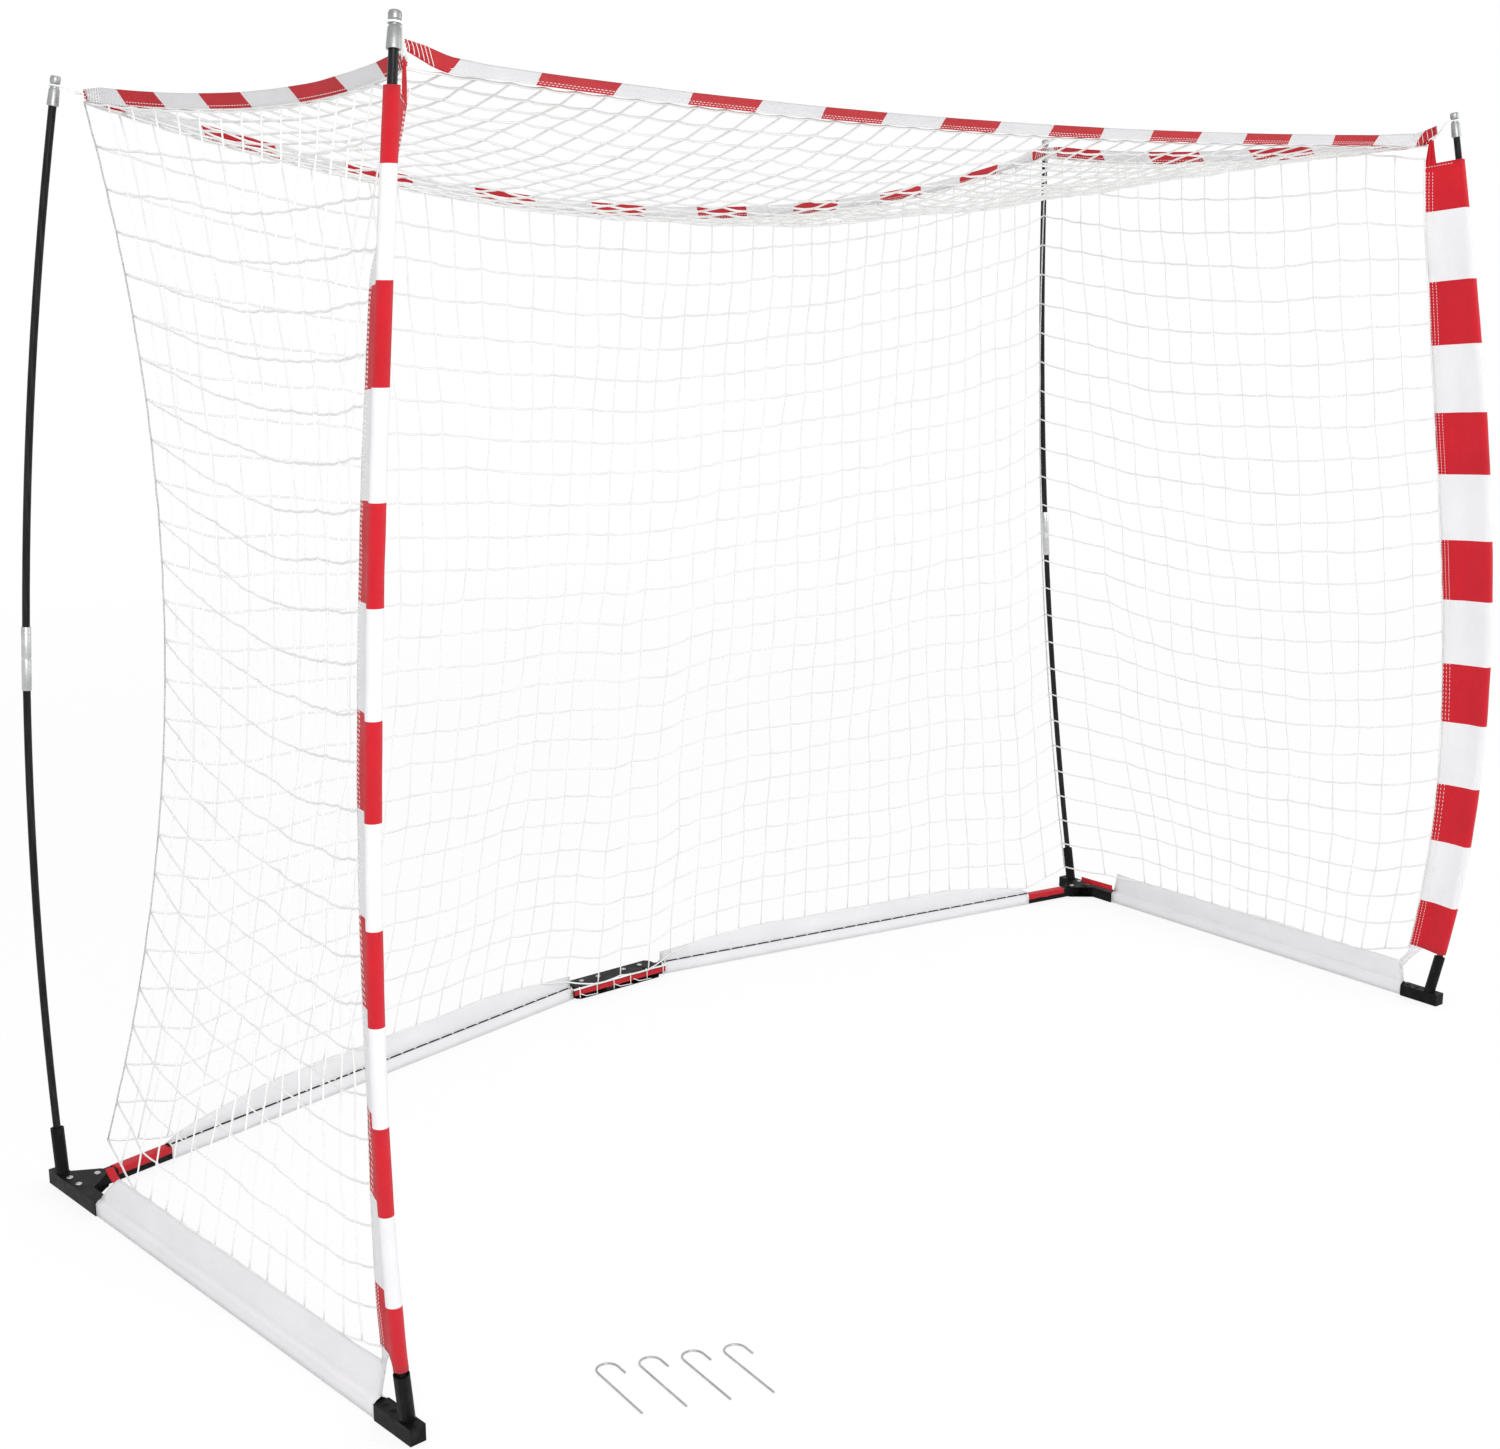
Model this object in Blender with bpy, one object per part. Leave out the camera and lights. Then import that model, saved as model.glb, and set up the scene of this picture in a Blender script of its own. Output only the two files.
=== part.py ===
"""Portable handball goal: folding steel base, four bowed poles in sockets, striped sleeves, tapes and a net.

Metres, +Z up. The goal mouth faces -Y and the net is at +Y. Inside the script every place is measured from
the middle of the goal line, and the whole model is shifted at the end so that its box is centred on the origin.
"""
import math

import bmesh
import bpy
from mathutils import Matrix, Vector

# Plan of the base: the spacing of the pole sockets, and the hinge in the middle of the rear bar
FRONT_WIDTH = 3.00
REAR_WIDTH = 3.12
DEPTH = 1.24
HINGE_SETBACK = 0.23

# Poles: height of the cap tops, spacing and setback of the tops, how far they bow out, and how much lower
# than halfway the bow is fullest, where 0 is even
POLE_TOP = 2.175
TOP_WIDTH_FRONT = 2.79
TOP_WIDTH_REAR = 2.78
TOP_SETBACK_FRONT = 0.05
TOP_SETBACK_REAR = 0.04
FRONT_BOW_OUT = 0.089
FRONT_BOW_FORWARD = 0.070
REAR_BOW_OUT = 0.034
REAR_BOW_BACK = 0.081
FRONT_BOW_SKEW = 0.345
REAR_BOW_SKEW = 0.0

# Square base tubes, the brackets folded round them and their running gaps
BAR = 0.025
BAR_WALL = 0.0015
SHEET = 0.002
FIT_GAP = 0.0004
SEAT_GAP = 0.0003

# Corner brackets, as lengths along the side arm from the rear socket
BRACKET_TAIL = 0.032
BRACKET_FRONT = 0.175
PIVOT_AHEAD = 0.052
PIVOT_INSET = 0.050
EAR_RADIUS = 0.021
EAR_FLANK = 0.055
STUB = 0.018
FRONT_BRACKET_NOSE = 0.030
FRONT_BRACKET_TAIL = 0.075

# Middle hinge: two plates and four rivets in two rows
HINGE_HALF_LENGTH = 0.135
HINGE_PIVOT_SPACING = 0.083
HINGE_STOP_SPACING = 0.188
HINGE_PLATE_BACK = 0.022
HINGE_PLATE_FRONT = 0.042
HINGE_CORNER = 0.010

# Rivets
RIVET_RADIUS = 0.004
RIVET_HEAD = 0.0065
RIVET_DOME = 0.0024
RIVET_SUNK = 0.0005
REAR_RIVETS = (0.034, 0.074)
FRONT_RIVETS = (0.038, 0.062)
HOLE_GAP = 0.0004

# Sockets and poles
SOCKET_OUTER = 0.0135
SOCKET_INNER = 0.0112
SOCKET_LENGTH = 0.090
POLE_RADIUS = 0.0075
FOOT_RADIUS = 0.0105
FOOT_LENGTH = 0.070
FOOT_RISE = 0.0035
FERRULE_OUTER = 0.0095
FERRULE_LENGTH = 0.126
FERRULE_SHARE = 0.485
CAP_OUTER = 0.0100
CAP_LENGTH = 0.064
CAP_NECK = 0.0078
CAP_NECK_BELOW_TOP = 0.022
CAP_NECK_HEIGHT = 0.007
CAP_DEPTH = 0.038
CAP_SHOULDER = 0.002
CAP_CROWN = 0.003
CAP_SLOT = 0.003
CAP_SLOT_DEPTH = 0.006
TUBE_GAP = 0.0004
ROUND_SIDES = 12

# Post sleeves: a loop round the pole with a flap that runs back and in towards the net
SLEEVE_CLOTH = 0.0016
SLEEVE_LOOSE = 0.0022
SLEEVE_BELOW_TOP = 0.115
SLEEVE_ABOVE_SOCKET = 0.004
FLAP_WIDTH_MIDDLE = 0.106
FLAP_WIDTH_END = 0.066
FLAP_TURN = 70.0
FLAP_THICK = 0.0028

# Ground skirts round the base bars, and the red hems over the bars beside the corners
SKIRT_HEIGHT = 0.092
SKIRT_CLOTH = 0.0012
SKIRT_FLAP = 0.0026
SKIRT_SHOULDER = 0.008
SKIRT_LEAN = 0.012
SKIRT_START_GAP = 0.002
REAR_SKIRT_GAP = 0.014
CORNER_BARE = 0.170
HEM_BEFORE_PIVOT = 0.038
HEM_DROP = 0.012
HEM_CLOTH = 0.0014
HEM_STRAP = 0.018

# Striped top tapes and the cords that tie them to the pole caps
TAPE_HEIGHT = 0.030
TAPE_THICK = 0.0024
TAPE_END_HEIGHT = 0.012
TAPE_TAPER = 0.06
TAPE_BELOW_TOP_FRONT = 0.062
TAPE_BELOW_TOP_REAR = 0.034
TIE_REACH = 0.036
TIE_RADIUS = 0.0018
TIE_LOOP_LENGTH = 0.018
FRONT_TAPE_SAG = 0.025
FRONT_TAPE_DRAWN_BACK = 0.120
SIDE_TAPE_SAG = 0.030
SIDE_TAPE_DRAWN_IN = 0.065
REAR_TAPE_SAG = 0.190
REAR_TAPE_DRAWN_IN = 0.050

# Net panels
TWINE = 0.0045
NET_GAP = 0.0010
NET_SIDE_GAP = 0.0016
NET_CORNER_GAP = 0.0034
NET_COLUMNS_BACK = 6
NET_COLUMNS_SIDE = 6
NET_ROWS = 8
NET_CORNER_BACK = 0.030
CORNER_DRAWN_IN = 0.150
CORNER_DRAWN_FORWARD = 0.060
BACK_NET_BULGE = 0.030
TOP_NET_SAG = 0.040

# Ground pegs, lying in front of the left post
PEG_WIRE = 0.0020
PEG_SHANK = 0.147
PEG_BEND = 0.0195
PEG_SHORT_LEG = 0.025
PEG_FIRST = (-1.160, -0.048)
PEG_STEP = (0.068, -0.031)
PEG_TURN = -7.0
PEG_COUNT = 4

# Heights that follow from the sheet and the bar
BAR_LOW = SHEET + FIT_GAP
BAR_HIGH = BAR_LOW + BAR
TOP_SHEET_LOW = BAR_HIGH + FIT_GAP
TOP_SHEET_HIGH = TOP_SHEET_LOW + SHEET
BRACKET_HALF = BAR / 2 + FIT_GAP + SHEET
POLE_FOOT = TOP_SHEET_HIGH + FOOT_RISE
POLE_SPAN = POLE_TOP - POLE_FOOT
HINGE_Y = DEPTH + HINGE_SETBACK
PEG_LEAN = abs(math.radians(PEG_TURN))
PEG_FURTHEST = PEG_FIRST[1] + (PEG_COUNT - 1) * PEG_STEP[1]
MODEL_FRONT = PEG_FURTHEST - PEG_SHANK * math.cos(PEG_LEAN) - PEG_WIRE * math.sin(PEG_LEAN)
MODEL_BACK = HINGE_Y + HINGE_PLATE_BACK
UP = Vector((0, 0, 1))


def clear_scene():
    for thing in list(bpy.data.objects):
        bpy.data.objects.remove(thing)


def material(name, colour, roughness, metallic=0.0):
    made = bpy.data.materials.new(name)
    made.use_nodes = True
    shader = made.node_tree.nodes["Principled BSDF"]
    shader.inputs["Base Color"].default_value = (*colour, 1.0)
    shader.inputs["Roughness"].default_value = roughness
    shader.inputs["Metallic"].default_value = metallic
    return made


def empty(name, place, parent=None):
    made = bpy.data.objects.new(name, None)
    bpy.context.scene.collection.objects.link(made)
    made.location = place
    if parent is not None:
        hold(made, parent)
    return made


def hold(thing, parent):
    """Parents a piece and keeps it where it is."""
    bpy.context.view_layer.update()
    thing.parent = parent
    thing.matrix_parent_inverse = parent.matrix_world.inverted()


def solid(name, points, faces, finish, parent, smooth=False):
    mesh = bpy.data.meshes.new(name)
    mesh.from_pydata([tuple(p) for p in points], [], faces)
    work = bmesh.new()
    work.from_mesh(mesh)
    bmesh.ops.recalc_face_normals(work, faces=work.faces)
    work.to_mesh(mesh)
    work.free()
    mesh.materials.append(finish)
    if smooth:
        mesh.shade_smooth()
        mesh.set_sharp_from_angle(angle=math.radians(40))
    made = bpy.data.objects.new(name, mesh)
    bpy.context.scene.collection.objects.link(made)
    if parent is not None:
        hold(made, parent)
    return made


def join_rings(rings, first, closed=False):
    """Quads between neighbouring rings, whose points start at index first."""
    size = len(rings[0])
    faces = []
    for r in range(len(rings) if closed else len(rings) - 1):
        a = first + r * size
        b = first + ((r + 1) % len(rings)) * size
        faces += [(a + i, a + (i + 1) % size, b + (i + 1) % size, b + i) for i in range(size)]
    return faces


def sweep(name, outer, finish, parent, inner=None, smooth=False):
    """A closed body through a row of rings; a second row of rings makes a bore right through it."""
    size = len(outer[0])
    points = [p for ring in outer for p in ring]
    faces = join_rings(outer, 0)
    last = (len(outer) - 1) * size
    if inner is None:
        faces += [tuple(range(size)), tuple(range(last, last + size))]
    else:
        start = len(points)
        points += [p for ring in inner for p in ring]
        faces += join_rings(inner, start)
        for end in (0, last):
            for i in range(size):
                j = (i + 1) % size
                faces.append((end + i, end + j, start + end + j, start + end + i))
    return solid(name, points, faces, finish, parent, smooth)


def ring(centre, across, over, radius, sides=ROUND_SIDES):
    turns = [2 * math.pi * i / sides for i in range(sides)]
    return [centre + radius * (math.cos(t) * across + math.sin(t) * over) for t in turns]


def axes_along(points, hint=Vector((1, 0, 0))):
    """Two directions square to the path at each of its points, without twist."""
    pairs = []
    across = hint
    for i in range(len(points)):
        before = points[max(i - 1, 0)]
        after = points[min(i + 1, len(points) - 1)]
        way = (after - before).normalized()
        across = (across - across.dot(way) * way).normalized()
        pairs.append((across.copy(), way.cross(across)))
    return pairs


def pipe(name, points, outer, finish, parent, bore=None, sides=ROUND_SIDES):
    """A round rod or tube along a path. The radius is one number or one for each point."""
    radii = outer if isinstance(outer, list) else [outer] * len(points)
    pairs = axes_along(points)
    outside = [ring(p, *pair, r, sides) for p, pair, r in zip(points, pairs, radii)]
    inside = None
    if bore is not None:
        inside = [ring(p, *pair, bore, sides) for p, pair in zip(points, pairs)]
    return sweep(name, outside, finish, parent, inside, smooth=True)


def prism(name, outline, low, high, finish, parent):
    """An upright body over a plan outline."""
    rings = [[Vector((x, y, z)) for x, y in outline] for z in (low, high)]
    return sweep(name, rings, finish, parent)


def combine(body, operation, *helpers):
    """Cuts helpers out of a body, or joins them to it, with Boolean modifiers, and hides them."""
    for helper in helpers:
        helper.hide_render = True
        helper.display_type = "WIRE"
        step = body.modifiers.new(helper.name, "BOOLEAN")
        step.operation = operation
        step.solver = "EXACT"
        step.object = helper


def cut(body, *cutters):
    combine(body, "DIFFERENCE", *cutters)


class Plan:
    """A flat frame on the ground: an origin, a direction inward and a direction along."""

    def __init__(self, origin, inward, along):
        self.origin = origin
        self.inward = inward
        self.along = along

    def at(self, inward, along, height=0.0):
        return self.origin + inward * self.inward + along * self.along + height * UP

    def flat(self, inward, along):
        place = self.at(inward, along)
        return (place.x, place.y)

    def box(self, inward, along):
        """The outline of a rectangle, from a pair of inward limits and a pair of along limits."""
        (u0, u1), (v0, v1) = inward, along
        return [self.flat(u, v) for u, v in ((u0, v0), (u1, v0), (u1, v1), (u0, v1))]


def arm_plan(side):
    """Side -1 is the left arm. The origin is the front socket and along points to the rear socket."""
    front = Vector((side * FRONT_WIDTH / 2, 0, 0))
    rear = Vector((side * REAR_WIDTH / 2, DEPTH, 0))
    along = (rear - front).normalized()
    return Plan(front, Vector((-side * along.y, side * along.x, 0)), along)


ARM_LENGTH = math.hypot((REAR_WIDTH - FRONT_WIDTH) / 2, DEPTH)
SIDE_SKIRT_START = FRONT_BRACKET_TAIL + SKIRT_START_GAP
SIDE_SKIRT_END = ARM_LENGTH - BRACKET_FRONT - SKIRT_START_GAP
REAR_SKIRT_START = HINGE_HALF_LENGTH - HINGE_PIVOT_SPACING / 2 + REAR_SKIRT_GAP


def corner_pivot(side):
    return arm_plan(side).at(PIVOT_INSET, ARM_LENGTH - PIVOT_AHEAD)


def hinge_pivot(side):
    return Vector((side * HINGE_PIVOT_SPACING / 2, HINGE_Y, 0))


def bar_plan(side):
    """The origin is the middle pivot, along points to the corner pivot, and inward points to the front."""
    start = hinge_pivot(side)
    along = (corner_pivot(side) - start).normalized()
    return Plan(start, Vector((-side * along.y, side * along.x, 0)) * -1, along)


BAR_LENGTH = (corner_pivot(1) - hinge_pivot(1)).length


def rivets(body, places, seat):
    """Grows round-headed rivets out of the lower sheet of a body. seat is the height of the heads' flat side."""
    profile = [(RIVET_RADIUS, SHEET / 2), (RIVET_RADIUS, seat), (RIVET_HEAD, seat),
               (RIVET_HEAD * 0.86, seat + RIVET_DOME * 0.6), (RIVET_HEAD * 0.45, seat + RIVET_DOME)]
    across, over = Vector((1, 0, 0)), Vector((0, 1, 0))
    for i, place in enumerate(places):
        rings = [ring(place + z * UP, across, over, r) for r, z in profile]
        pin = sweep(f"{body.name}_rivet_{i}", rings, STEEL_BLACK, body.parent)
        combine(body, "UNION", pin)


def drill(name, places, parent, low=-0.01, high=0.05):
    """Cutters for rivet holes, one for each place."""
    made = []
    for i, place in enumerate(places):
        rings = [ring(place + z * UP, Vector((1, 0, 0)), Vector((0, 1, 0)), RIVET_RADIUS + HOLE_GAP) for z in (low, high)]
        made.append(sweep(f"{name}_{i}", rings, STEEL_BLACK, parent))
    return made


def square_tube(name, plan, start, end, parent):
    """A hollow square bar along a plan frame."""
    def section(v, half, low, high):
        return [plan.at(u, v, z) for u, z in ((-half, low), (half, low), (half, high), (-half, high))]

    outside = [section(v, BAR / 2, BAR_LOW, BAR_HIGH) for v in (start, end)]
    low, high = BAR_LOW + BAR_WALL, BAR_HIGH - BAR_WALL
    inside = [section(v, BAR / 2 - BAR_WALL, low, high) for v in (start, end)]
    return sweep(name, outside, STEEL_BLACK, parent, inside)


def channel(name, plan, outline, start, end, parent):
    """A bracket of folded sheet: a plan outline with the bar's channel cut through it between start and end."""
    body = prism(name, outline, 0, TOP_SHEET_HIGH, STEEL_BLACK, parent)
    half = BAR / 2 + FIT_GAP
    hollow = prism(name + "_channel", plan.box((-half, half), (start, end)), SHEET, TOP_SHEET_LOW, STEEL_BLACK, parent)
    cut(body, hollow)
    return body


def rear_bracket(side, word, parent):
    """The corner bracket on the arm's rear end, with the ear that the rear bar turns in."""
    plan = arm_plan(side)
    tail, front = ARM_LENGTH + BRACKET_TAIL, ARM_LENGTH - BRACKET_FRONT
    pivot = ARM_LENGTH - PIVOT_AHEAD
    turns = [math.radians(a) for a in range(-70, 71, 14)]
    ear = [plan.flat(PIVOT_INSET + EAR_RADIUS * math.cos(t), pivot + EAR_RADIUS * math.sin(t)) for t in turns]
    outline = [plan.flat(-BRACKET_HALF, front), plan.flat(BRACKET_HALF, front)]
    outline += [plan.flat(BRACKET_HALF, pivot - EAR_FLANK), *ear]
    outline += [plan.flat(BRACKET_HALF, pivot + 2.2 * EAR_RADIUS), plan.flat(BRACKET_HALF, tail), plan.flat(-BRACKET_HALF, tail)]
    body = channel(f"{word}_rear_bracket", plan, outline, front - 0.01, tail - SHEET, parent)
    reach = PIVOT_INSET + 2 * EAR_RADIUS
    slot_outline = plan.box((BRACKET_HALF + SEAT_GAP, reach), (front - 0.01, pivot + 3 * EAR_RADIUS))
    slot = prism(f"{word}_ear_slot", slot_outline, SHEET, TOP_SHEET_LOW, STEEL_BLACK, parent)
    cut(body, slot)
    return body


def front_bracket(side, word, parent):
    plan = arm_plan(side)
    nose, tail = -FRONT_BRACKET_NOSE, FRONT_BRACKET_TAIL
    outline = plan.box((-BRACKET_HALF, BRACKET_HALF), (nose, tail))
    return channel(f"{word}_front_bracket", plan, outline, nose + SHEET, tail + 0.01, parent)


def pole_point(side, rear, share):
    """A point on a pole's bowed centre line, from its foot at 0 to its top at 1."""
    width, top_width = (REAR_WIDTH, TOP_WIDTH_REAR) if rear else (FRONT_WIDTH, TOP_WIDTH_FRONT)
    setback = DEPTH if rear else 0.0
    top_setback = setback + (TOP_SETBACK_REAR if rear else TOP_SETBACK_FRONT)
    foot = Vector((side * width / 2, setback, POLE_FOOT))
    top = Vector((side * top_width / 2, top_setback, POLE_TOP))
    out = side * (REAR_BOW_OUT if rear else FRONT_BOW_OUT)
    back = REAR_BOW_BACK if rear else -FRONT_BOW_FORWARD
    skew = REAR_BOW_SKEW if rear else FRONT_BOW_SKEW
    return foot.lerp(top, share) + Vector((out, back, 0)) * 4 * share * (1 - share) * (1 + skew * (1 - 2 * share))


SOCKET_SHARE = SOCKET_LENGTH / POLE_SPAN
FERRULE_LOW = FERRULE_SHARE - FERRULE_LENGTH / 2 / POLE_SPAN
FERRULE_HIGH = FERRULE_SHARE + FERRULE_LENGTH / 2 / POLE_SPAN
CAP_SHARE = 1 - CAP_LENGTH / POLE_SPAN


def spread(first, last, steps):
    return [first + (last - first) * i / steps for i in range(steps + 1)]


def socket_way(side, rear):
    return (pole_point(side, rear, SOCKET_SHARE) - pole_point(side, rear, 0)).normalized()


def ferrule_way(side, rear):
    return (pole_point(side, rear, FERRULE_HIGH) - pole_point(side, rear, FERRULE_LOW)).normalized()


def socket(side, rear, name, parent):
    """The leaning steel tube welded on a bracket, cut level where it stands on the sheet."""
    foot, way = pole_point(side, rear, 0), socket_way(side, rear)
    across = (Vector((1, 0, 0)) - way.x * way).normalized()
    over = way.cross(across)
    mouth = foot + way * SOCKET_LENGTH
    level = TOP_SHEET_HIGH + SEAT_GAP

    def rings(radius):
        low = []
        for p in ring(foot, across, over, radius):
            low.append(p + way * ((level - p.z) / way.z))
        return [low, ring(mouth, across, over, radius)]

    return sweep(name, rings(SOCKET_OUTER), STEEL_BLACK, parent, rings(SOCKET_INNER), smooth=True)


def pole(side, rear, word, lower, upper):
    """Two rod sections, the end sleeve in the socket, the joining ferrule and the top cap."""
    def at(share):
        return pole_point(side, rear, share)

    way = socket_way(side, rear)
    middle = at(FERRULE_LOW).lerp(at(FERRULE_HIGH), 0.5)
    half_gap = ferrule_way(side, rear) * SEAT_GAP
    foot = [at(0), at(0) + way * FOOT_LENGTH, at(0) + way * (FOOT_LENGTH + 0.002)]
    low_path = [*foot, *[at(s) for s in spread(SOCKET_SHARE, FERRULE_LOW, 7)], middle - half_gap]
    low_radii = [FOOT_RADIUS] * 2 + [POLE_RADIUS] * (len(low_path) - 2)
    high_path = [middle + half_gap, at(FERRULE_HIGH), *[at(s) for s in spread(FERRULE_HIGH, CAP_SHARE, 7)[1:]]]
    cap_way = (at(1) - at(CAP_SHARE)).normalized()
    high_path.append(at(CAP_SHARE) + cap_way * CAP_DEPTH)
    pipe(f"{word}_pole_lower", low_path, low_radii, FIBREGLASS, lower)
    ends = [at(FERRULE_LOW), at(FERRULE_HIGH)]
    pipe(f"{word}_ferrule", ends, FERRULE_OUTER, STEEL_BRIGHT, lower, bore=POLE_RADIUS + TUBE_GAP)
    pipe(f"{word}_pole_upper", high_path, POLE_RADIUS, FIBREGLASS, upper)
    cap(side, rear, word, cap_way, upper)


def cap(side, rear, word, way, parent):
    """A turned cap: a tube over the rod's end, a neck for the tie and a rounded head with a cross slot."""
    base, top = pole_point(side, rear, CAP_SHARE), pole_point(side, rear, 1)
    across = (Vector((1, 0, 0)) - way.x * way).normalized()
    over = way.cross(across)
    neck_high = CAP_LENGTH - CAP_NECK_BELOW_TOP + CAP_NECK_HEIGHT
    neck_low = neck_high - CAP_NECK_HEIGHT
    bore = POLE_RADIUS + TUBE_GAP
    crown = CAP_LENGTH - CAP_CROWN
    profile = [(bore, CAP_DEPTH + SEAT_GAP), (bore, 0), (CAP_OUTER, 0), (CAP_OUTER, neck_low - CAP_SHOULDER),
               (CAP_NECK, neck_low), (CAP_NECK, neck_high), (CAP_OUTER, neck_high + CAP_SHOULDER),
               (CAP_OUTER, crown), (CAP_OUTER - CAP_CROWN, CAP_LENGTH)]
    rings = [ring(base + way * h, across, over, r) for r, h in profile]
    body = sweep(f"{word}_cap", rings, STEEL_BRIGHT, parent, smooth=True)
    half, past = CAP_SLOT / 2, CAP_OUTER + 0.002
    corners = [(-half, -past), (half, -past), (half, past), (-half, past)]
    ends = (top - way * CAP_SLOT_DEPTH, top + way * 0.004)
    slot = [[end + x * across + y * over for x, y in corners] for end in ends]
    cut(body, sweep(f"{word}_cap_slot", slot, STEEL_BRIGHT, parent))


def flap_edge(side, share):
    """The free edge of a post sleeve's flap, beside the front pole at that share of its height."""
    turn = math.radians(FLAP_TURN)
    way = Vector((-side * math.cos(turn), math.sin(turn), 0))
    width = FLAP_WIDTH_END + (FLAP_WIDTH_MIDDLE - FLAP_WIDTH_END) * math.sin(math.pi * share) ** 0.8
    return pole_point(side, False, share) + way * width


SLEEVE_LOW = SOCKET_SHARE + SLEEVE_ABOVE_SOCKET / POLE_SPAN
SLEEVE_HIGH = 1 - SLEEVE_BELOW_TOP / POLE_SPAN


def post_sleeve(side, word, parent):
    """Cloth round a front pole, with its two layers sewn together into the flap that carries the net."""
    inner_radius = FERRULE_OUTER + SLEEVE_LOOSE
    outer_radius = inner_radius + SLEEVE_CLOTH
    outside, inside = [], []
    for share in spread(SLEEVE_LOW, SLEEVE_HIGH, 12):
        centre, edge = pole_point(side, False, share), flap_edge(side, share)
        way = (edge - centre).normalized()
        cross = UP.cross(way)
        turns = [math.radians(a) for a in range(30, 331, 30)]
        outer = [edge + cross * FLAP_THICK / 2]
        outer += [centre + outer_radius * (math.cos(t) * way + math.sin(t) * cross) for t in turns]
        outer += [edge - cross * FLAP_THICK / 2]
        bore_turns = [math.radians(8), *turns, math.radians(352)]
        inside.append([centre + inner_radius * (math.cos(t) * way + math.sin(t) * cross) for t in bore_turns])
        outside.append(outer)
    return sweep(f"{word}_post_sleeve", outside, CLOTH_RED, parent, inside, smooth=True)


def skirt(plan, start, end, lean, name, finish, parent):
    """Cloth folded round a base bar, with the two layers standing up as the strip that the net is sewn to."""
    inner = BAR / 2 + SEAT_GAP
    outer = inner + SKIRT_CLOTH
    low = BAR_LOW - SEAT_GAP
    high = BAR_HIGH + SEAT_GAP
    flap = SKIRT_FLAP / 2
    outside, inside = [], []
    for v in spread(start, end, 4):
        right = [(lean + flap, SKIRT_HEIGHT), (SKIRT_FLAP, high + SKIRT_SHOULDER), (outer, high + SKIRT_CLOTH),
                 (outer, low - SKIRT_CLOTH)]
        left = [(-u, z) for u, z in right[:0:-1]] + [(lean - flap, SKIRT_HEIGHT)]
        right_bore = [(inner / 6, high), (inner / 2, high), (inner, high), (inner, low)]
        left_bore = [(-u, z) for u, z in reversed(right_bore)]
        outside.append([plan.at(u, v, z) for u, z in right + left])
        inside.append([plan.at(u, v, z) for u, z in right_bore + left_bore])
    return sweep(name, outside, finish, parent, inside)


def corner_hem(plan, start, end, name, parent):
    """The red hem folded over the top of the bare bar beside a corner."""
    inner = BAR / 2 + SEAT_GAP
    outer = inner + HEM_CLOTH
    high = BAR_HIGH + SEAT_GAP
    low = BAR_HIGH - HEM_DROP
    section = [(-outer, low), (-outer, high + HEM_CLOTH), (outer, high + HEM_CLOTH), (outer, low),
               (inner, low), (inner, high), (-inner, high), (-inner, low)]
    rings = [[plan.at(u, v, z) for u, z in section] for v in (start, end)]
    return sweep(name, rings, CLOTH_RED, parent)


def slack(share, sag, drawn=Vector((0, 0, 0))):
    """How far a tape has dropped and been drawn in at a share of its length."""
    return 4 * share * (1 - share) * (drawn - sag * UP)


def tape_corner(side, rear):
    """Where the ends of two top tapes meet beside a pole cap."""
    top = pole_point(side, rear, 1)
    below = TAPE_BELOW_TOP_REAR if rear else TAPE_BELOW_TOP_FRONT
    return Vector((top.x - side * TIE_REACH, top.y + (-1 if rear else 1) * TIE_REACH, POLE_TOP - below))


def front_tape(share):
    a, b = tape_corner(-1, False), tape_corner(1, False)
    return a.lerp(b, share) + slack(share, FRONT_TAPE_SAG, Vector((0, FRONT_TAPE_DRAWN_BACK, 0)))


def rear_tape(share):
    a, b = tape_corner(-1, True), tape_corner(1, True)
    return a.lerp(b, share) + slack(share, REAR_TAPE_SAG, Vector((0, -REAR_TAPE_DRAWN_IN, 0)))


def side_tape(side, share):
    a, b = tape_corner(side, False), tape_corner(side, True)
    return a.lerp(b, share) + slack(share, SIDE_TAPE_SAG, Vector((-side * SIDE_TAPE_DRAWN_IN, 0, 0)))


def tape_half_height(share, length):
    """Half the tape's height: full along its run, drawn together at both ends."""
    near = min(share, 1 - share) * length
    grown = min(1.0, near / TAPE_TAPER)
    return (TAPE_END_HEIGHT + (TAPE_HEIGHT - TAPE_END_HEIGHT) * grown) / 2


def tape(path, steps, name, finish, parent):
    """A flat band standing on edge along its path, stopping short of the other tape at each corner."""
    length = (path(1) - path(0)).length
    margin = (TAPE_THICK + SEAT_GAP) / length
    shares = [margin, TAPE_TAPER / length, *spread(0, 1, steps)[1:-1], 1 - TAPE_TAPER / length, 1 - margin]
    rings = []
    for share in shares:
        way = (path(min(share + 0.01, 1)) - path(max(share - 0.01, 0))).normalized()
        across = way.cross(UP).normalized() * TAPE_THICK / 2
        rise = UP * tape_half_height(share, length)
        place = path(share)
        rings.append([place - across - rise, place + across - rise, place + across + rise, place - across + rise])
    return sweep(name, rings, finish, parent)


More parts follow.
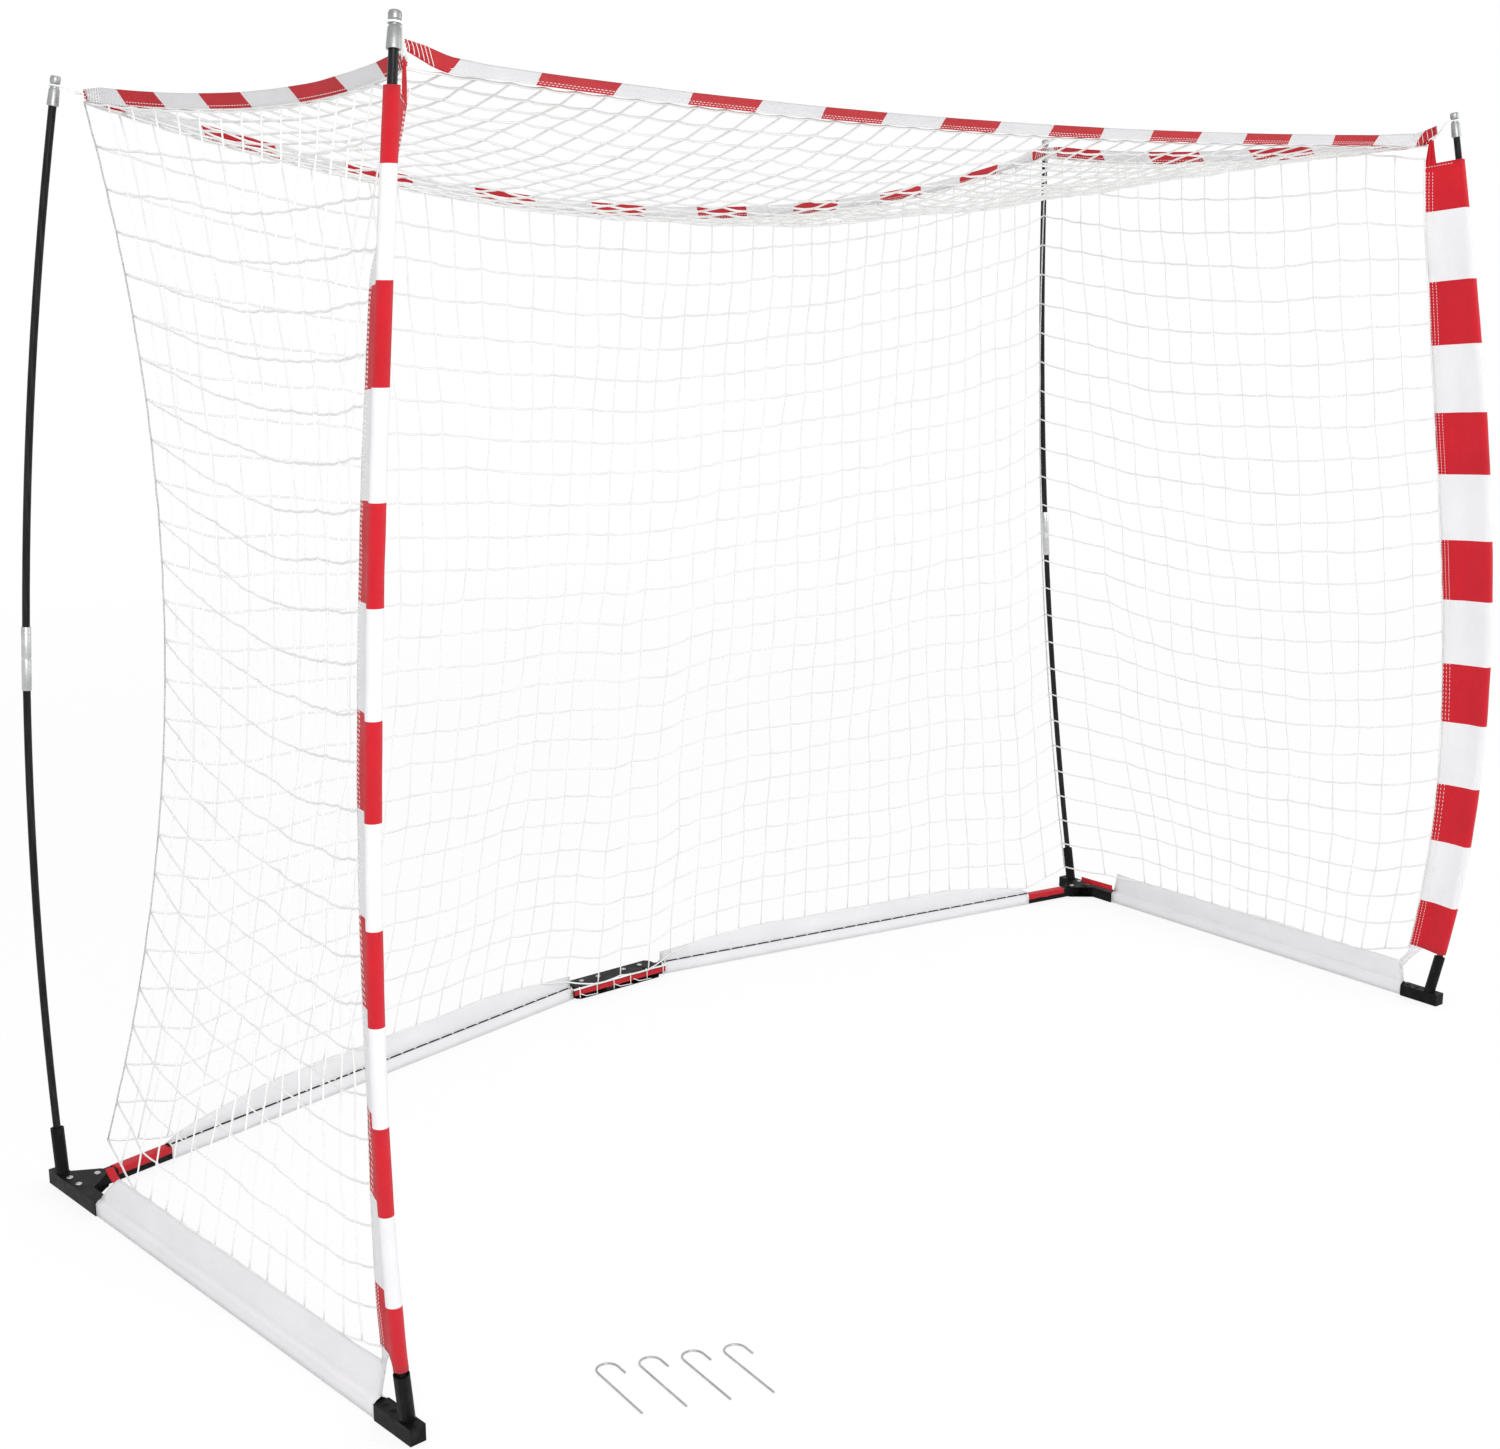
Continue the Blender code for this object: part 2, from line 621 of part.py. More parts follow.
def corner_tie(side, rear, word, parent):
    """A cord loop round the neck of a pole cap and down to the corner of the tapes."""
    way = (pole_point(side, rear, 1) - pole_point(side, rear, CAP_SHARE)).normalized()
    neck = pole_point(side, rear, 1) - way * (CAP_NECK_BELOW_TOP - CAP_NECK_HEIGHT / 2)
    corner = tape_corner(side, rear)
    end = corner + Vector((side, 1 if rear else -1, 0)) * (TIE_RADIUS + TAPE_THICK)
    out = end - neck
    flat = (out - out.dot(way) * way).normalized()
    across = way.cross(flat)
    radius = CAP_NECK + TIE_RADIUS + SEAT_GAP
    turns = [math.radians(a) for a in range(60, 301, 30)]
    path = [neck + radius * (math.cos(t) * flat + math.sin(t) * across) for t in turns]
    apart = across * TIE_RADIUS * 1.4
    path += [neck + flat * TIE_LOOP_LENGTH - 2 * apart, end - apart, end + apart, neck + flat * TIE_LOOP_LENGTH + 2 * apart]
    rings = []
    for i, place in enumerate(path):
        along = (path[(i + 1) % len(path)] - path[i - 1]).normalized()
        over = (way - way.dot(along) * along).normalized()
        rings.append(ring(place, along.cross(over), over, TIE_RADIUS, 6))
    points = [p for one in rings for p in one]
    return solid(f"{word}_tie", points, join_rings(rings, 0, closed=True), CORD_WHITE, parent, smooth=True)


def net_corner(side, share):
    """The rear corner edge of the net, from the ground skirt at 0 to the top tapes at 1."""
    low = bar_plan(side).at(0, BAR_LENGTH - NET_CORNER_BACK, SKIRT_HEIGHT)
    high = tape_corner(side, True) - UP * TAPE_HEIGHT / 2
    drawn = Vector((-side * CORNER_DRAWN_IN, -CORNER_DRAWN_FORWARD, 0))
    return low.lerp(high, share) + drawn * 4 * share * (1 - share)


def settle(path, first, last, share=0.12):
    """The same path, but drawn to its neighbours' corners at both ends."""
    def drawn(u):
        place = path(u)
        if u < share:
            place = place + (first - path(0)) * (1 - u / share)
        if u > 1 - share:
            place = place + (last - path(1)) * (1 - (1 - u) / share)
        return place
    return drawn


def patch(low, high, left, right, bulge=Vector((0, 0, 0))):
    """The smooth surface between four edges: low and high run with u, left and right run with v."""
    def surface(u, v):
        flat = (1 - v) * low(u) + v * high(u) + (1 - u) * left(v) + u * right(v)
        corners = (1 - u) * (1 - v) * low(0) + u * (1 - v) * low(1) + (1 - u) * v * high(0) + u * v * high(1)
        return flat - corners + bulge * 16 * u * (1 - u) * v * (1 - v)
    return surface


def net(name, surface, columns, rows, parent, sides=(NET_GAP, NET_GAP)):
    """A net panel as one body: strands along both directions of a surface, with open meshes between them.

    sides holds the gaps to the neighbours at the start and the end of the panel's width.
    """
    wide = (surface(1, 0.5) - surface(0, 0.5)).length
    tall = (surface(0.5, 1) - surface(0.5, 0)).length

    def lines(count, length, gaps):
        strand = TWINE / length
        starts = spread(gaps[0] / length, 1 - gaps[1] / length - strand, count)
        return [x for s in starts for x in (s, s + strand)]

    us, vs = lines(columns, wide, sides), lines(rows, tall, (NET_GAP, 2 * NET_GAP))
    step = 0.01
    front, back = [], []
    for v in vs:
        for u in us:
            along = surface(u + step, v) - surface(u - step, v)
            up = surface(u, v + step) - surface(u, v - step)
            thick = along.cross(up).normalized() * TWINE / 2
            front.append(surface(u, v) + thick)
            back.append(surface(u, v) - thick)
    across, high, second = len(us), len(vs), len(front)

    def is_mesh(i, j):
        return i < 0 or j < 0 or i >= across - 1 or j >= high - 1 or (i % 2 == 1 and j % 2 == 1)

    faces = []
    for j in range(high - 1):
        for i in range(across - 1):
            if is_mesh(i, j):
                continue
            a, b = j * across + i, j * across + i + 1
            c, d = b + across, a + across
            faces += [(a, b, c, d), (second + a, second + d, second + c, second + b)]
            for open_side, (p, q) in (((i, j - 1), (a, b)), ((i + 1, j), (b, c)), ((i, j + 1), (c, d)), ((i - 1, j), (d, a))):
                if is_mesh(*open_side):
                    faces.append((p, second + p, second + q, q))
    return solid(name, front + back, faces, CORD_WHITE, parent)


def side_net_top(side, share):
    """The lower edge of a side tape."""
    return side_tape(side, share) - UP * TAPE_HEIGHT / 2


def back_panel(side):
    """The surface of one half of the back net, from its corner edge to the middle of the goal."""
    plan = bar_plan(side)
    corner_low, corner_high = net_corner(side, 0), net_corner(side, 1)
    middle_low = Vector((0, HINGE_Y, SKIRT_HEIGHT))
    middle_high = rear_tape(0.5) - UP * TAPE_HEIGHT / 2

    def low(u):
        return plan.at(0, (1 - u) * (BAR_LENGTH - NET_CORNER_BACK), SKIRT_HEIGHT)

    def high(u):
        return rear_tape(u / 2 if side < 0 else 1 - u / 2) - UP * TAPE_HEIGHT / 2

    return patch(settle(low, corner_low, middle_low), settle(high, corner_high, middle_high),
                 lambda v: net_corner(side, v), lambda v: middle_low.lerp(middle_high, v),
                 Vector((0, -BACK_NET_BULGE, 0)))


def side_panel(side):
    """The surface of a side net, from the post sleeve's flap to the rear corner edge."""
    plan = arm_plan(side)

    def flap(v):
        return flap_edge(side, SLEEVE_LOW + (SLEEVE_HIGH - SLEEVE_LOW) * v)

    def low(u):
        return plan.at(SKIRT_LEAN, SIDE_SKIRT_START + u * (SIDE_SKIRT_END - SIDE_SKIRT_START), SKIRT_HEIGHT)

    return patch(settle(low, flap(0), net_corner(side, 0)),
                 settle(lambda u: side_net_top(side, u), flap(1), net_corner(side, 1)),
                 flap, lambda v: net_corner(side, v))


def roof_panel():
    """The surface of the top net, hung inside the four tapes and clear of their curves between its strands."""
    across_inset = TAPE_THICK / 2 + NET_GAP + SIDE_TAPE_DRAWN_IN / NET_COLUMNS_SIDE ** 2
    back_inset = TAPE_THICK / 2 + NET_GAP + FRONT_TAPE_DRAWN_BACK / (2 * NET_COLUMNS_BACK) ** 2

    def inside(path, across, back):
        return lambda s: path(s) + Vector((across_inset * across(s), back_inset * back(s), 0))

    def turning(s):
        return 1 - 2 * s

    return patch(inside(front_tape, turning, lambda s: 1), inside(rear_tape, turning, lambda s: -1),
                 inside(lambda s: side_tape(-1, s), lambda s: 1, turning),
                 inside(lambda s: side_tape(1, s), lambda s: -1, turning), Vector((0, 0, -TOP_NET_SAG)))


def net_panels(parent):
    """Two back panels that meet in the middle, two sides and the roof."""
    for side, word in ((-1, "left"), (1, "right")):
        net(f"back_net_{word}", back_panel(side), NET_COLUMNS_BACK, NET_ROWS, parent, (NET_CORNER_GAP, NET_SIDE_GAP))
        net(f"{word}_side_net", side_panel(side), NET_COLUMNS_SIDE, NET_ROWS, parent, (NET_SIDE_GAP, NET_CORNER_GAP))
    net("top_net", roof_panel(), 2 * NET_COLUMNS_BACK, NET_COLUMNS_SIDE, parent)


def peg(index, parent):
    """A bent wire ground peg lying flat: a long shank, a half-round bend and a short leg."""
    turn = Matrix.Rotation(math.radians(PEG_TURN), 3, "Z")
    start = Vector((PEG_FIRST[0] + index * PEG_STEP[0], PEG_FIRST[1] + index * PEG_STEP[1], PEG_WIRE))
    local = [Vector((0, -PEG_SHANK, 0))]
    for a in range(180, -1, -20):
        t = math.radians(a)
        local.append(Vector((PEG_BEND + PEG_BEND * math.cos(t), PEG_BEND * math.sin(t), 0)))
    local.append(Vector((2 * PEG_BEND, -PEG_SHORT_LEG, 0)))
    path = [start + turn @ p for p in local]
    return pipe(f"ground_peg_{index + 1}", path, PEG_WIRE, STEEL_BRIGHT, parent, sides=8)


def middle_hinge(parent):
    """Two plates over and under the bars' inner ends, with pivot rivets and stop rivets through both."""
    long, back, front, nip = HINGE_HALF_LENGTH, HINGE_PLATE_BACK, -HINGE_PLATE_FRONT, HINGE_CORNER
    outline = [(-long + nip, front), (long - nip, front), (long, front + nip), (long, back - nip), (long - nip, back),
               (-long + nip, back), (-long, back - nip), (-long, front + nip)]
    outline = [(x, y + HINGE_Y) for x, y in outline]
    top = prism("middle_hinge_top_plate", outline, TOP_SHEET_LOW, TOP_SHEET_HIGH, STEEL_BLACK, parent)
    bottom = prism("middle_hinge_bottom_plate", outline, 0, SHEET, STEEL_BLACK, parent)
    pivots = [hinge_pivot(side) for side in (-1, 1)]
    stops = []
    for side in (-1, 1):
        plan = bar_plan(side)
        along = HINGE_STOP_SPACING / 2 - HINGE_PIVOT_SPACING / 2
        stops.append(plan.at(BAR / 2 + RIVET_RADIUS + FIT_GAP, along))
    cut(top, *drill("middle_hole", pivots + stops, parent))
    rivets(bottom, pivots + stops, TOP_SHEET_HIGH + SEAT_GAP)
    strap_front = HINGE_Y - HINGE_PLATE_FRONT - SEAT_GAP
    reach = HINGE_HALF_LENGTH + 0.012
    low = BAR_LOW + 0.003
    strap = [(-reach, strap_front - HEM_CLOTH), (reach, strap_front - HEM_CLOTH), (reach, strap_front), (-reach, strap_front)]
    prism("middle_hem", strap, low, low + HEM_STRAP, CLOTH_RED, parent)


def base_side(side, word, root):
    """One half of the rear bar and the side arm that hangs on it. Returns the empty that carries the arm."""
    bar_turn = empty(f"{word}_bar_fold_axis", hinge_pivot(side), root)
    arm_turn = empty(f"{word}_arm_fold_axis", corner_pivot(side), bar_turn)
    plan = bar_plan(side)
    bar = square_tube(f"{word}_rear_bar", plan, -STUB, BAR_LENGTH + STUB, bar_turn)
    cut(bar, *drill(f"{word}_bar_hole", [plan.at(0, 0), plan.at(0, BAR_LENGTH)], bar_turn))
    skirt_end = BAR_LENGTH - CORNER_BARE
    skirt(plan, REAR_SKIRT_START, skirt_end, 0.0, f"{word}_rear_skirt", CLOTH_WHITE, bar_turn)
    corner_hem(plan, skirt_end + SEAT_GAP, BAR_LENGTH - HEM_BEFORE_PIVOT, f"{word}_corner_hem", bar_turn)

    arm = arm_plan(side)
    tube_start = -FRONT_BRACKET_NOSE + SHEET + FIT_GAP
    tube_end = ARM_LENGTH + BRACKET_TAIL - SHEET - FIT_GAP
    rear_body = rear_bracket(side, word, arm_turn)
    front_body = front_bracket(side, word, arm_turn)
    tube = square_tube(f"{word}_side_bar", arm, tube_start, tube_end, arm_turn)
    rear_fixed = [arm.at(0, ARM_LENGTH - d) for d in REAR_RIVETS]
    front_fixed = [arm.at(0, d) for d in FRONT_RIVETS]
    cut(tube, *drill(f"{word}_side_hole", rear_fixed + front_fixed, arm_turn))
    seat = TOP_SHEET_HIGH - RIVET_SUNK
    rivets(rear_body, rear_fixed + [corner_pivot(side)], seat)
    rivets(front_body, front_fixed, seat)
    skirt(arm, SIDE_SKIRT_START, SIDE_SKIRT_END, SKIRT_LEAN, f"{word}_side_skirt", CLOTH_WHITE, arm_turn)
    return arm_turn


def centre_on_origin(root):
    """Moves the model so that the middle of its plan is at the origin. It already stands on z = 0."""
    root.location = (0, -(MODEL_FRONT + MODEL_BACK) / 2, 0)


clear_scene()
STEEL_BLACK = material("black_steel", (0.018, 0.018, 0.020), 0.42, 0.3)
STEEL_BRIGHT = material("bright_steel", (0.62, 0.64, 0.64), 0.32, 0.9)
FIBREGLASS = material("black_fibreglass", (0.014, 0.014, 0.016), 0.30)
CLOTH_RED = material("red_cloth", (0.66, 0.025, 0.030), 0.75)
CLOTH_WHITE = material("white_cloth", (0.86, 0.86, 0.86), 0.75)
CORD_WHITE = material("white_cord", (0.84, 0.84, 0.82), 0.80)

goal = empty("goal", (0, 0, 0))
middle_hinge(goal)
for side, side_word in ((-1, "left"), (1, "right")):
    arm_axis = base_side(side, side_word, goal)
    for is_rear, end_word in ((False, "front"), (True, "rear")):
        pole_word = f"{end_word}_{side_word}"
        socket(side, is_rear, f"{pole_word}_socket", arm_axis)
        pole_axis = empty(f"{pole_word}_pole_slide", pole_point(side, is_rear, 0), arm_axis)
        upper_axis = empty(f"{pole_word}_upper_slide", pole_point(side, is_rear, FERRULE_SHARE), pole_axis)
        pole(side, is_rear, pole_word, pole_axis, upper_axis)
        corner_tie(side, is_rear, pole_word, goal)
        if not is_rear:
            post_sleeve(side, side_word, pole_axis)

tape(front_tape, 2 * NET_COLUMNS_BACK, "front_top_tape", CLOTH_RED, goal)
tape(rear_tape, 2 * NET_COLUMNS_BACK, "rear_top_tape", CLOTH_RED, goal)
tape(lambda s: side_tape(-1, s), NET_COLUMNS_SIDE, "left_top_tape", CLOTH_RED, goal)
tape(lambda s: side_tape(1, s), NET_COLUMNS_SIDE, "right_top_tape", CLOTH_RED, goal)
net_panels(goal)
for number in range(PEG_COUNT):
    peg(number, goal)
centre_on_origin(goal)
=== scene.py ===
"""The looks of the folding handball goal: cloth, tapes, knotted net, coated steel and glass fibre rods.

Places are written in the goal's own plan, from the middle of the goal line, and shifted onto the frame.
"""
import math
from functools import partial

import bmesh
import bpy
from mathutils import Matrix, Vector, noise

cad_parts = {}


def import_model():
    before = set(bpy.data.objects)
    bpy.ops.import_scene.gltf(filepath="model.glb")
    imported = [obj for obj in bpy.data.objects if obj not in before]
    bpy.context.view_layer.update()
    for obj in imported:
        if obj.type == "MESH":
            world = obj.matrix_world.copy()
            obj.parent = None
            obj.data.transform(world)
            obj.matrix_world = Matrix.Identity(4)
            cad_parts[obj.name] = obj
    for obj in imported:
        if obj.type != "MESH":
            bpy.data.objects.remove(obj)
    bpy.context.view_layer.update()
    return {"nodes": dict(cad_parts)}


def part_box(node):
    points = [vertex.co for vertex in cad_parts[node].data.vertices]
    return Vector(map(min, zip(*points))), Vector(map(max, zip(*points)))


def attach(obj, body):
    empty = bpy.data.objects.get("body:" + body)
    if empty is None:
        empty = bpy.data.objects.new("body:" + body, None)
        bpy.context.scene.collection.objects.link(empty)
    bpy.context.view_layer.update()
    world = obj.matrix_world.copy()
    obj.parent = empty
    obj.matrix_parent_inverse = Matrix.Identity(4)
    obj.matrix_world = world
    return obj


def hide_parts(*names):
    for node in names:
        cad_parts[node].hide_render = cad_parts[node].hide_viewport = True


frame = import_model()
NODES = frame["nodes"]

# The goal's plan and heights, as its source has them
FRONT_WIDTH, REAR_WIDTH, DEPTH = 3.00, 3.12, 1.24
HINGE_Y, HINGE_PLATE_BACK, HINGE_PLATE_FRONT = 1.47, 0.022, 0.042
HINGE_RIVETS, REAR_RIVETS = (-0.094, -0.0415, 0.0415, 0.094), (0.034, 0.074)
HINGE_CORD_HEIGHT = 0.0345
POLE_FOOT, POLE_TOP = 0.0333, 2.175
TOP_WIDTH = {False: 2.79, True: 2.78}
TOP_SETBACK = {False: 0.05, True: 0.04}
BOW_OUT = {False: 0.089, True: 0.034}
BOW_BACK = {False: -0.070, True: 0.081}
BOW_SKEW = {False: 0.345, True: 0.0}
SOCKET_LENGTH, FERRULE_LENGTH, FERRULE_SHARE = 0.090, 0.126, 0.485
CAP_LENGTH, CAP_MOUTH, CAP_NECK_DOWN = 0.064, 0.009, 0.0185
ROD_RADIUS, ROD_BORE, ROD_GAP, ROD_IN_CAP = 0.0075, 0.0079, 0.0003, 0.038
THICK_FOOT, THICK_RADIUS = 0.070, 0.0105
POLE_SPAN = POLE_TOP - POLE_FOOT
BAR_LOW, BAR_HIGH, BAR_HALF = 0.0024, 0.0274, 0.0125
PIVOT_AHEAD, PIVOT_INSET, PIVOT_SPACING = 0.052, 0.050, 0.083
SKIRT_HEIGHT, REAR_SKIRT_HEIGHT, SKIRT_LOW_TOP, SKIRT_LEAN = 0.092, 0.086, 0.0375, 0.012
HEM_FROM_END = (0.1695, 0.0395)
TAPE_HEIGHT, TAPE_END_HEIGHT, TAPE_TAPER, TAPE_LEVELS = 0.030, 0.016, 0.05, 0.16
TAPE_BELOW_TOP, TIE_REACH, TIE_ROUND = {False: 0.062, True: 0.034}, 0.036, 0.0099
FRONT_TILT, REAR_TILT, SIDE_TILT = math.radians(42), math.radians(-32), math.radians(-12)
FRONT_TAPE_SAG, SIDE_TAPE_SAG, REAR_TAPE_SAG = 0.025, 0.030, 0.190
FRONT_TAPE_DRAWN_BACK, SIDE_TAPE_DRAWN_IN, REAR_TAPE_DRAWN_IN = 0.120, 0.065, 0.050
FLAP_WIDTH_FOOT, FLAP_WIDTH_END, FLAP_WIDTH_MIDDLE = 0.082, 0.066, 0.110
FLAP_TURN_FOOT = math.radians(83)
FLAP_TURN, FLAP_TURN_TOP, FLAP_TURNS_FROM = math.radians(72), math.radians(28), 0.83
CORNER_DRAWN_IN, CORNER_DRAWN_FORWARD, NET_CORNER_BACK = 0.118, 0.050, 0.030
BACK_NET_BULGE, TOP_NET_SAG, WALL_NET_SAG = 0.030, 0.040, 0.050

# Cloth, twine and stitches
CLOTH = 0.0009
TAPE_THICK = 0.0016
TWINE_RADIUS = 0.0021
TOP_BAND, WHITE_BAND, RED_BAND = 0.108, 0.161, 0.149
BLOCK_LEAN, ROWS_PER_BLOCK = 0.030, 6
SLEEVE_RADIUS, BAND_SLOPE, SLEEVE_SLOPE = 0.0125, 0.014, {-1: 0.006, 1: 0.001}
FLAP_RIPPLE, FLAP_GAP = 0.0048, 0.0008
STITCH_LENGTH, STITCH_PITCH, STITCH_RADIUS = 0.0055, 0.0085, 0.0008
STITCH_PROUD = STITCH_RADIUS * 0.4
SLEEVE_SEAMS, TOP_SEAM_DOWN, TAPE_SEAMS = (0.003, 0.010, 0.018), 0.006, (-0.78, -0.42)

# Where the photograph was taken from, and the studio's light
STANDPOINT, LENS = Vector((-2.948, -2.531, 1.806)), 47.933
YAW, PITCH, ROLL = math.radians(40.59), math.radians(-12.63), math.radians(-0.04)
SKY_LIGHT, FLOOR_GLOW, PURE_WHITE = 0.93, 0.80, (1, 1, 1, 1)

UP = Vector((0, 0, 1))
SIDES = ((-1, "left"), (1, "right"))
SHIFT = Vector((0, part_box("middle_hinge_top_plate")[1].y - HINGE_Y - HINGE_PLATE_BACK, 0))


# Shader expressions

class Shade:
    """A value, colour or vector in a finish, with arithmetic written as plain expressions."""

    def __init__(self, finish, socket):
        self.finish, self.socket = finish, socket

    def maths(self, operation, *values):
        return self.finish.node("ShaderNodeMath", {"operation": operation}, dict(enumerate(values)))

    def __add__(self, other):
        return self.maths("ADD", self, other)

    def __sub__(self, other):
        return self.maths("SUBTRACT", self, other)

    def __rsub__(self, other):
        return self.maths("SUBTRACT", other, self)

    def __mul__(self, other):
        return self.maths("MULTIPLY", self, other)

    __radd__, __rmul__ = __add__, __mul__

    def sine(self):
        return self.maths("SINE", self)

    def ramp(self, low, high, to_low=0.0, to_high=1.0):
        values = {"Value": self, "From Min": low, "From Max": high, "To Min": to_low, "To Max": to_high}
        return self.finish.node("ShaderNodeMapRange", {}, values)

    def part(self, axis):
        return self.finish.node("ShaderNodeSeparateXYZ", {}, {0: self}, "XYZ".index(axis))


MIX_LOW, MIX_HIGH, MIX_RESULT = 6, 7, 2


class Finish:
    """A material or a world under construction, with one method that adds any node."""

    def __init__(self, name, kept_in=bpy.data.materials):
        self.made = kept_in.new(name)
        self.made.use_nodes = True
        self.tree = self.made.node_tree
        self.shader = self.tree.nodes.get("Principled BSDF")

    def node(self, kind, settings, values, output=0):
        made = self.tree.nodes.new(kind)
        for key, value in settings.items():
            setattr(made, key, value)
        for key, value in values.items():
            self.plug(made.inputs[key], value)
        return Shade(self, made.outputs[output])

    def plug(self, socket, value):
        if isinstance(value, Shade):
            self.tree.links.new(value.socket, socket)
        else:
            socket.default_value = value

    def set(self, **values):
        for key, value in values.items():
            self.plug(self.shader.inputs[key.replace("_", " ")], value)
        return self

    def place(self):
        return self.node("ShaderNodeTexCoord", {}, {}, "Object")

    def cloth_place(self):
        return self.node("ShaderNodeTexCoord", {}, {}, "UV")

    def grain(self, scale, detail=3.0, stretch=(1, 1, 1), place=None):
        where = self.node("ShaderNodeMapping", {}, {"Vector": place or self.place(), "Scale": stretch})
        return self.node("ShaderNodeTexNoise", {}, {"Vector": where, "Scale": scale, "Detail": detail}, "Fac")

    def mix(self, share, low, high):
        values = {"Factor": share, MIX_LOW: (*low, 1), MIX_HIGH: (*high, 1)}
        return self.node("ShaderNodeMix", {"data_type": "RGBA"}, values, MIX_RESULT)

    def bump(self, height, distance):
        values = {"Height": height, "Distance": distance, "Strength": 1.0}
        return self.set(Normal=self.node("ShaderNodeBump", {}, values))


def woven(name, colour, deep, thread, roughness, distance):
    """Plain woven cloth: crossing threads, slow changes of tone and a soft sheen."""
    made = Finish(name)
    where = made.cloth_place()
    turns = 2 * math.pi / thread
    warp, weft = (where.part("X") * turns).sine(), (where.part("Y") * turns).sine()
    tone = made.grain(9, 4) * 0.7 + made.grain(140, 2) * 0.3
    made.set(Base_Color=made.mix(tone.ramp(0.25, 0.75), deep, colour),
             Roughness=made.grain(60).ramp(0.2, 0.8, roughness - 0.08, roughness + 0.06),
             Sheen_Weight=0.06, Specular_IOR_Level=0.25)
    return made.bump(warp * weft * 0.5 + made.grain(30, 5) * 1.6, distance).made


def powder_coat():
    """Black powder coat with its fine orange peel and a little dust."""
    made = Finish("black_powder_coat")
    peel, dust = made.grain(700, 2), made.grain(45, 6)
    made.set(Base_Color=made.mix(dust.ramp(0.55, 0.8), (0.006, 0.006, 0.0065), (0.022, 0.0215, 0.021)),
             Roughness=dust.ramp(0.3, 0.8, 0.36, 0.6), Specular_IOR_Level=0.08)
    return made.bump(peel, 0.00035).made


def bright_metal(name, colour, low, high, stretch):
    """Zinc or turned steel, brushed along its stretch and dulled in patches."""
    made = Finish(name)
    brushed, tarnish = made.grain(260, 3, stretch), made.grain(35, 4)
    dull = [c * 0.72 for c in colour]
    made.set(Base_Color=made.mix(tarnish.ramp(0.35, 0.75), dull, colour), Metallic=1.0,
             Roughness=(brushed * 0.6 + tarnish * 0.4).ramp(0.3, 0.7, low, high))
    return made.bump(brushed, 0.00012).made


def glass_fibre():
    """Black glass fibre rod, streaked along its length."""
    made = Finish("black_glass_fibre")
    streak, smear = made.grain(220, 3, (1, 1, 0.03)), made.grain(20, 4)
    made.set(Base_Color=made.mix(streak.ramp(0.4, 0.7), (0.005, 0.005, 0.006), (0.018, 0.018, 0.019)),
             Roughness=smear.ramp(0.3, 0.75, 0.22, 0.42), Specular_IOR_Level=0.15)
    return made.bump(streak, 0.0001).made


def twine():
    """White twine with a fine nap, a little greyer in places."""
    made = Finish("white_twine")
    fibre, soil = made.grain(900, 2), made.grain(12, 3)
    made.set(Base_Color=made.mix(soil.ramp(0.3, 0.75), (0.74, 0.745, 0.735), (0.84, 0.845, 0.84)),
             Roughness=0.8)
    return made.bump(fibre, 0.0004).made


RED = woven("red_cloth", (0.60, 0.006, 0.018), (0.48, 0.004, 0.014), 0.0011, 0.62, 0.00030)
WHITE = woven("white_cloth", (0.82, 0.81, 0.825), (0.75, 0.745, 0.765), 0.0011, 0.62, 0.00030)
TAPE_RED = woven("red_tape", (0.58, 0.014, 0.024), (0.44, 0.009, 0.017), 0.0017, 0.75, 0.0005)
TAPE_WHITE = woven("white_tape", (0.80, 0.79, 0.805), (0.71, 0.70, 0.72), 0.0017, 0.75, 0.0005)
TWINE = twine()
BLACK = powder_coat()
ZINC = bright_metal("zinc_tube", (0.64, 0.66, 0.65), 0.28, 0.44, (1, 1, 12))
TURNED = bright_metal("turned_cap", (0.47, 0.49, 0.48), 0.34, 0.50, (1, 1, 14))
WIRE = bright_metal("zinc_wire", (0.58, 0.59, 0.59), 0.25, 0.42, (1, 1, 1))
ROD = glass_fibre()


# Mesh helpers

def piece(name, points, faces, materials, body, replaced=(), picks=None, uvs=None):
    """A mesh in the goal's plan, moved onto the frame, riding on a body."""
    mesh = bpy.data.meshes.new(name)
    mesh.from_pydata([tuple(p + SHIFT) for p in points], [], faces)
    for finish in materials:
        mesh.materials.append(finish)
    if picks:
        mesh.polygons.foreach_set("material_index", picks)
    if uvs:
        layer = mesh.uv_layers.new(name="cloth")
        for loop in mesh.loops:
            layer.data[loop.index].uv = uvs[loop.vertex_index]
    work = bmesh.new()
    work.from_mesh(mesh)
    bmesh.ops.recalc_face_normals(work, faces=work.faces)
    work.to_mesh(mesh)
    work.free()
    mesh.shade_smooth()
    made = bpy.data.objects.new(name, mesh)
    bpy.context.scene.collection.objects.link(made)
    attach(made, body)
    if replaced:
        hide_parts(*replaced)
    return made


def spread(first, last, steps):
    """Evenly spaced values from first to last, both included."""
    return [first + (last - first) * i / steps for i in range(steps + 1)]


def axes_along(path, hint):
    """Two directions across a path at each point, turned as little as possible from one to the next."""
    pairs, across = [], hint
    for i in range(len(path)):
        way = (path[min(i + 1, len(path) - 1)] - path[max(i - 1, 0)]).normalized()
        across = across - across.dot(way) * way
        if across.length < 1e-4:
            across = way.orthogonal()
        across.normalize()
        pairs.append((across.copy(), way.cross(across)))
    return pairs


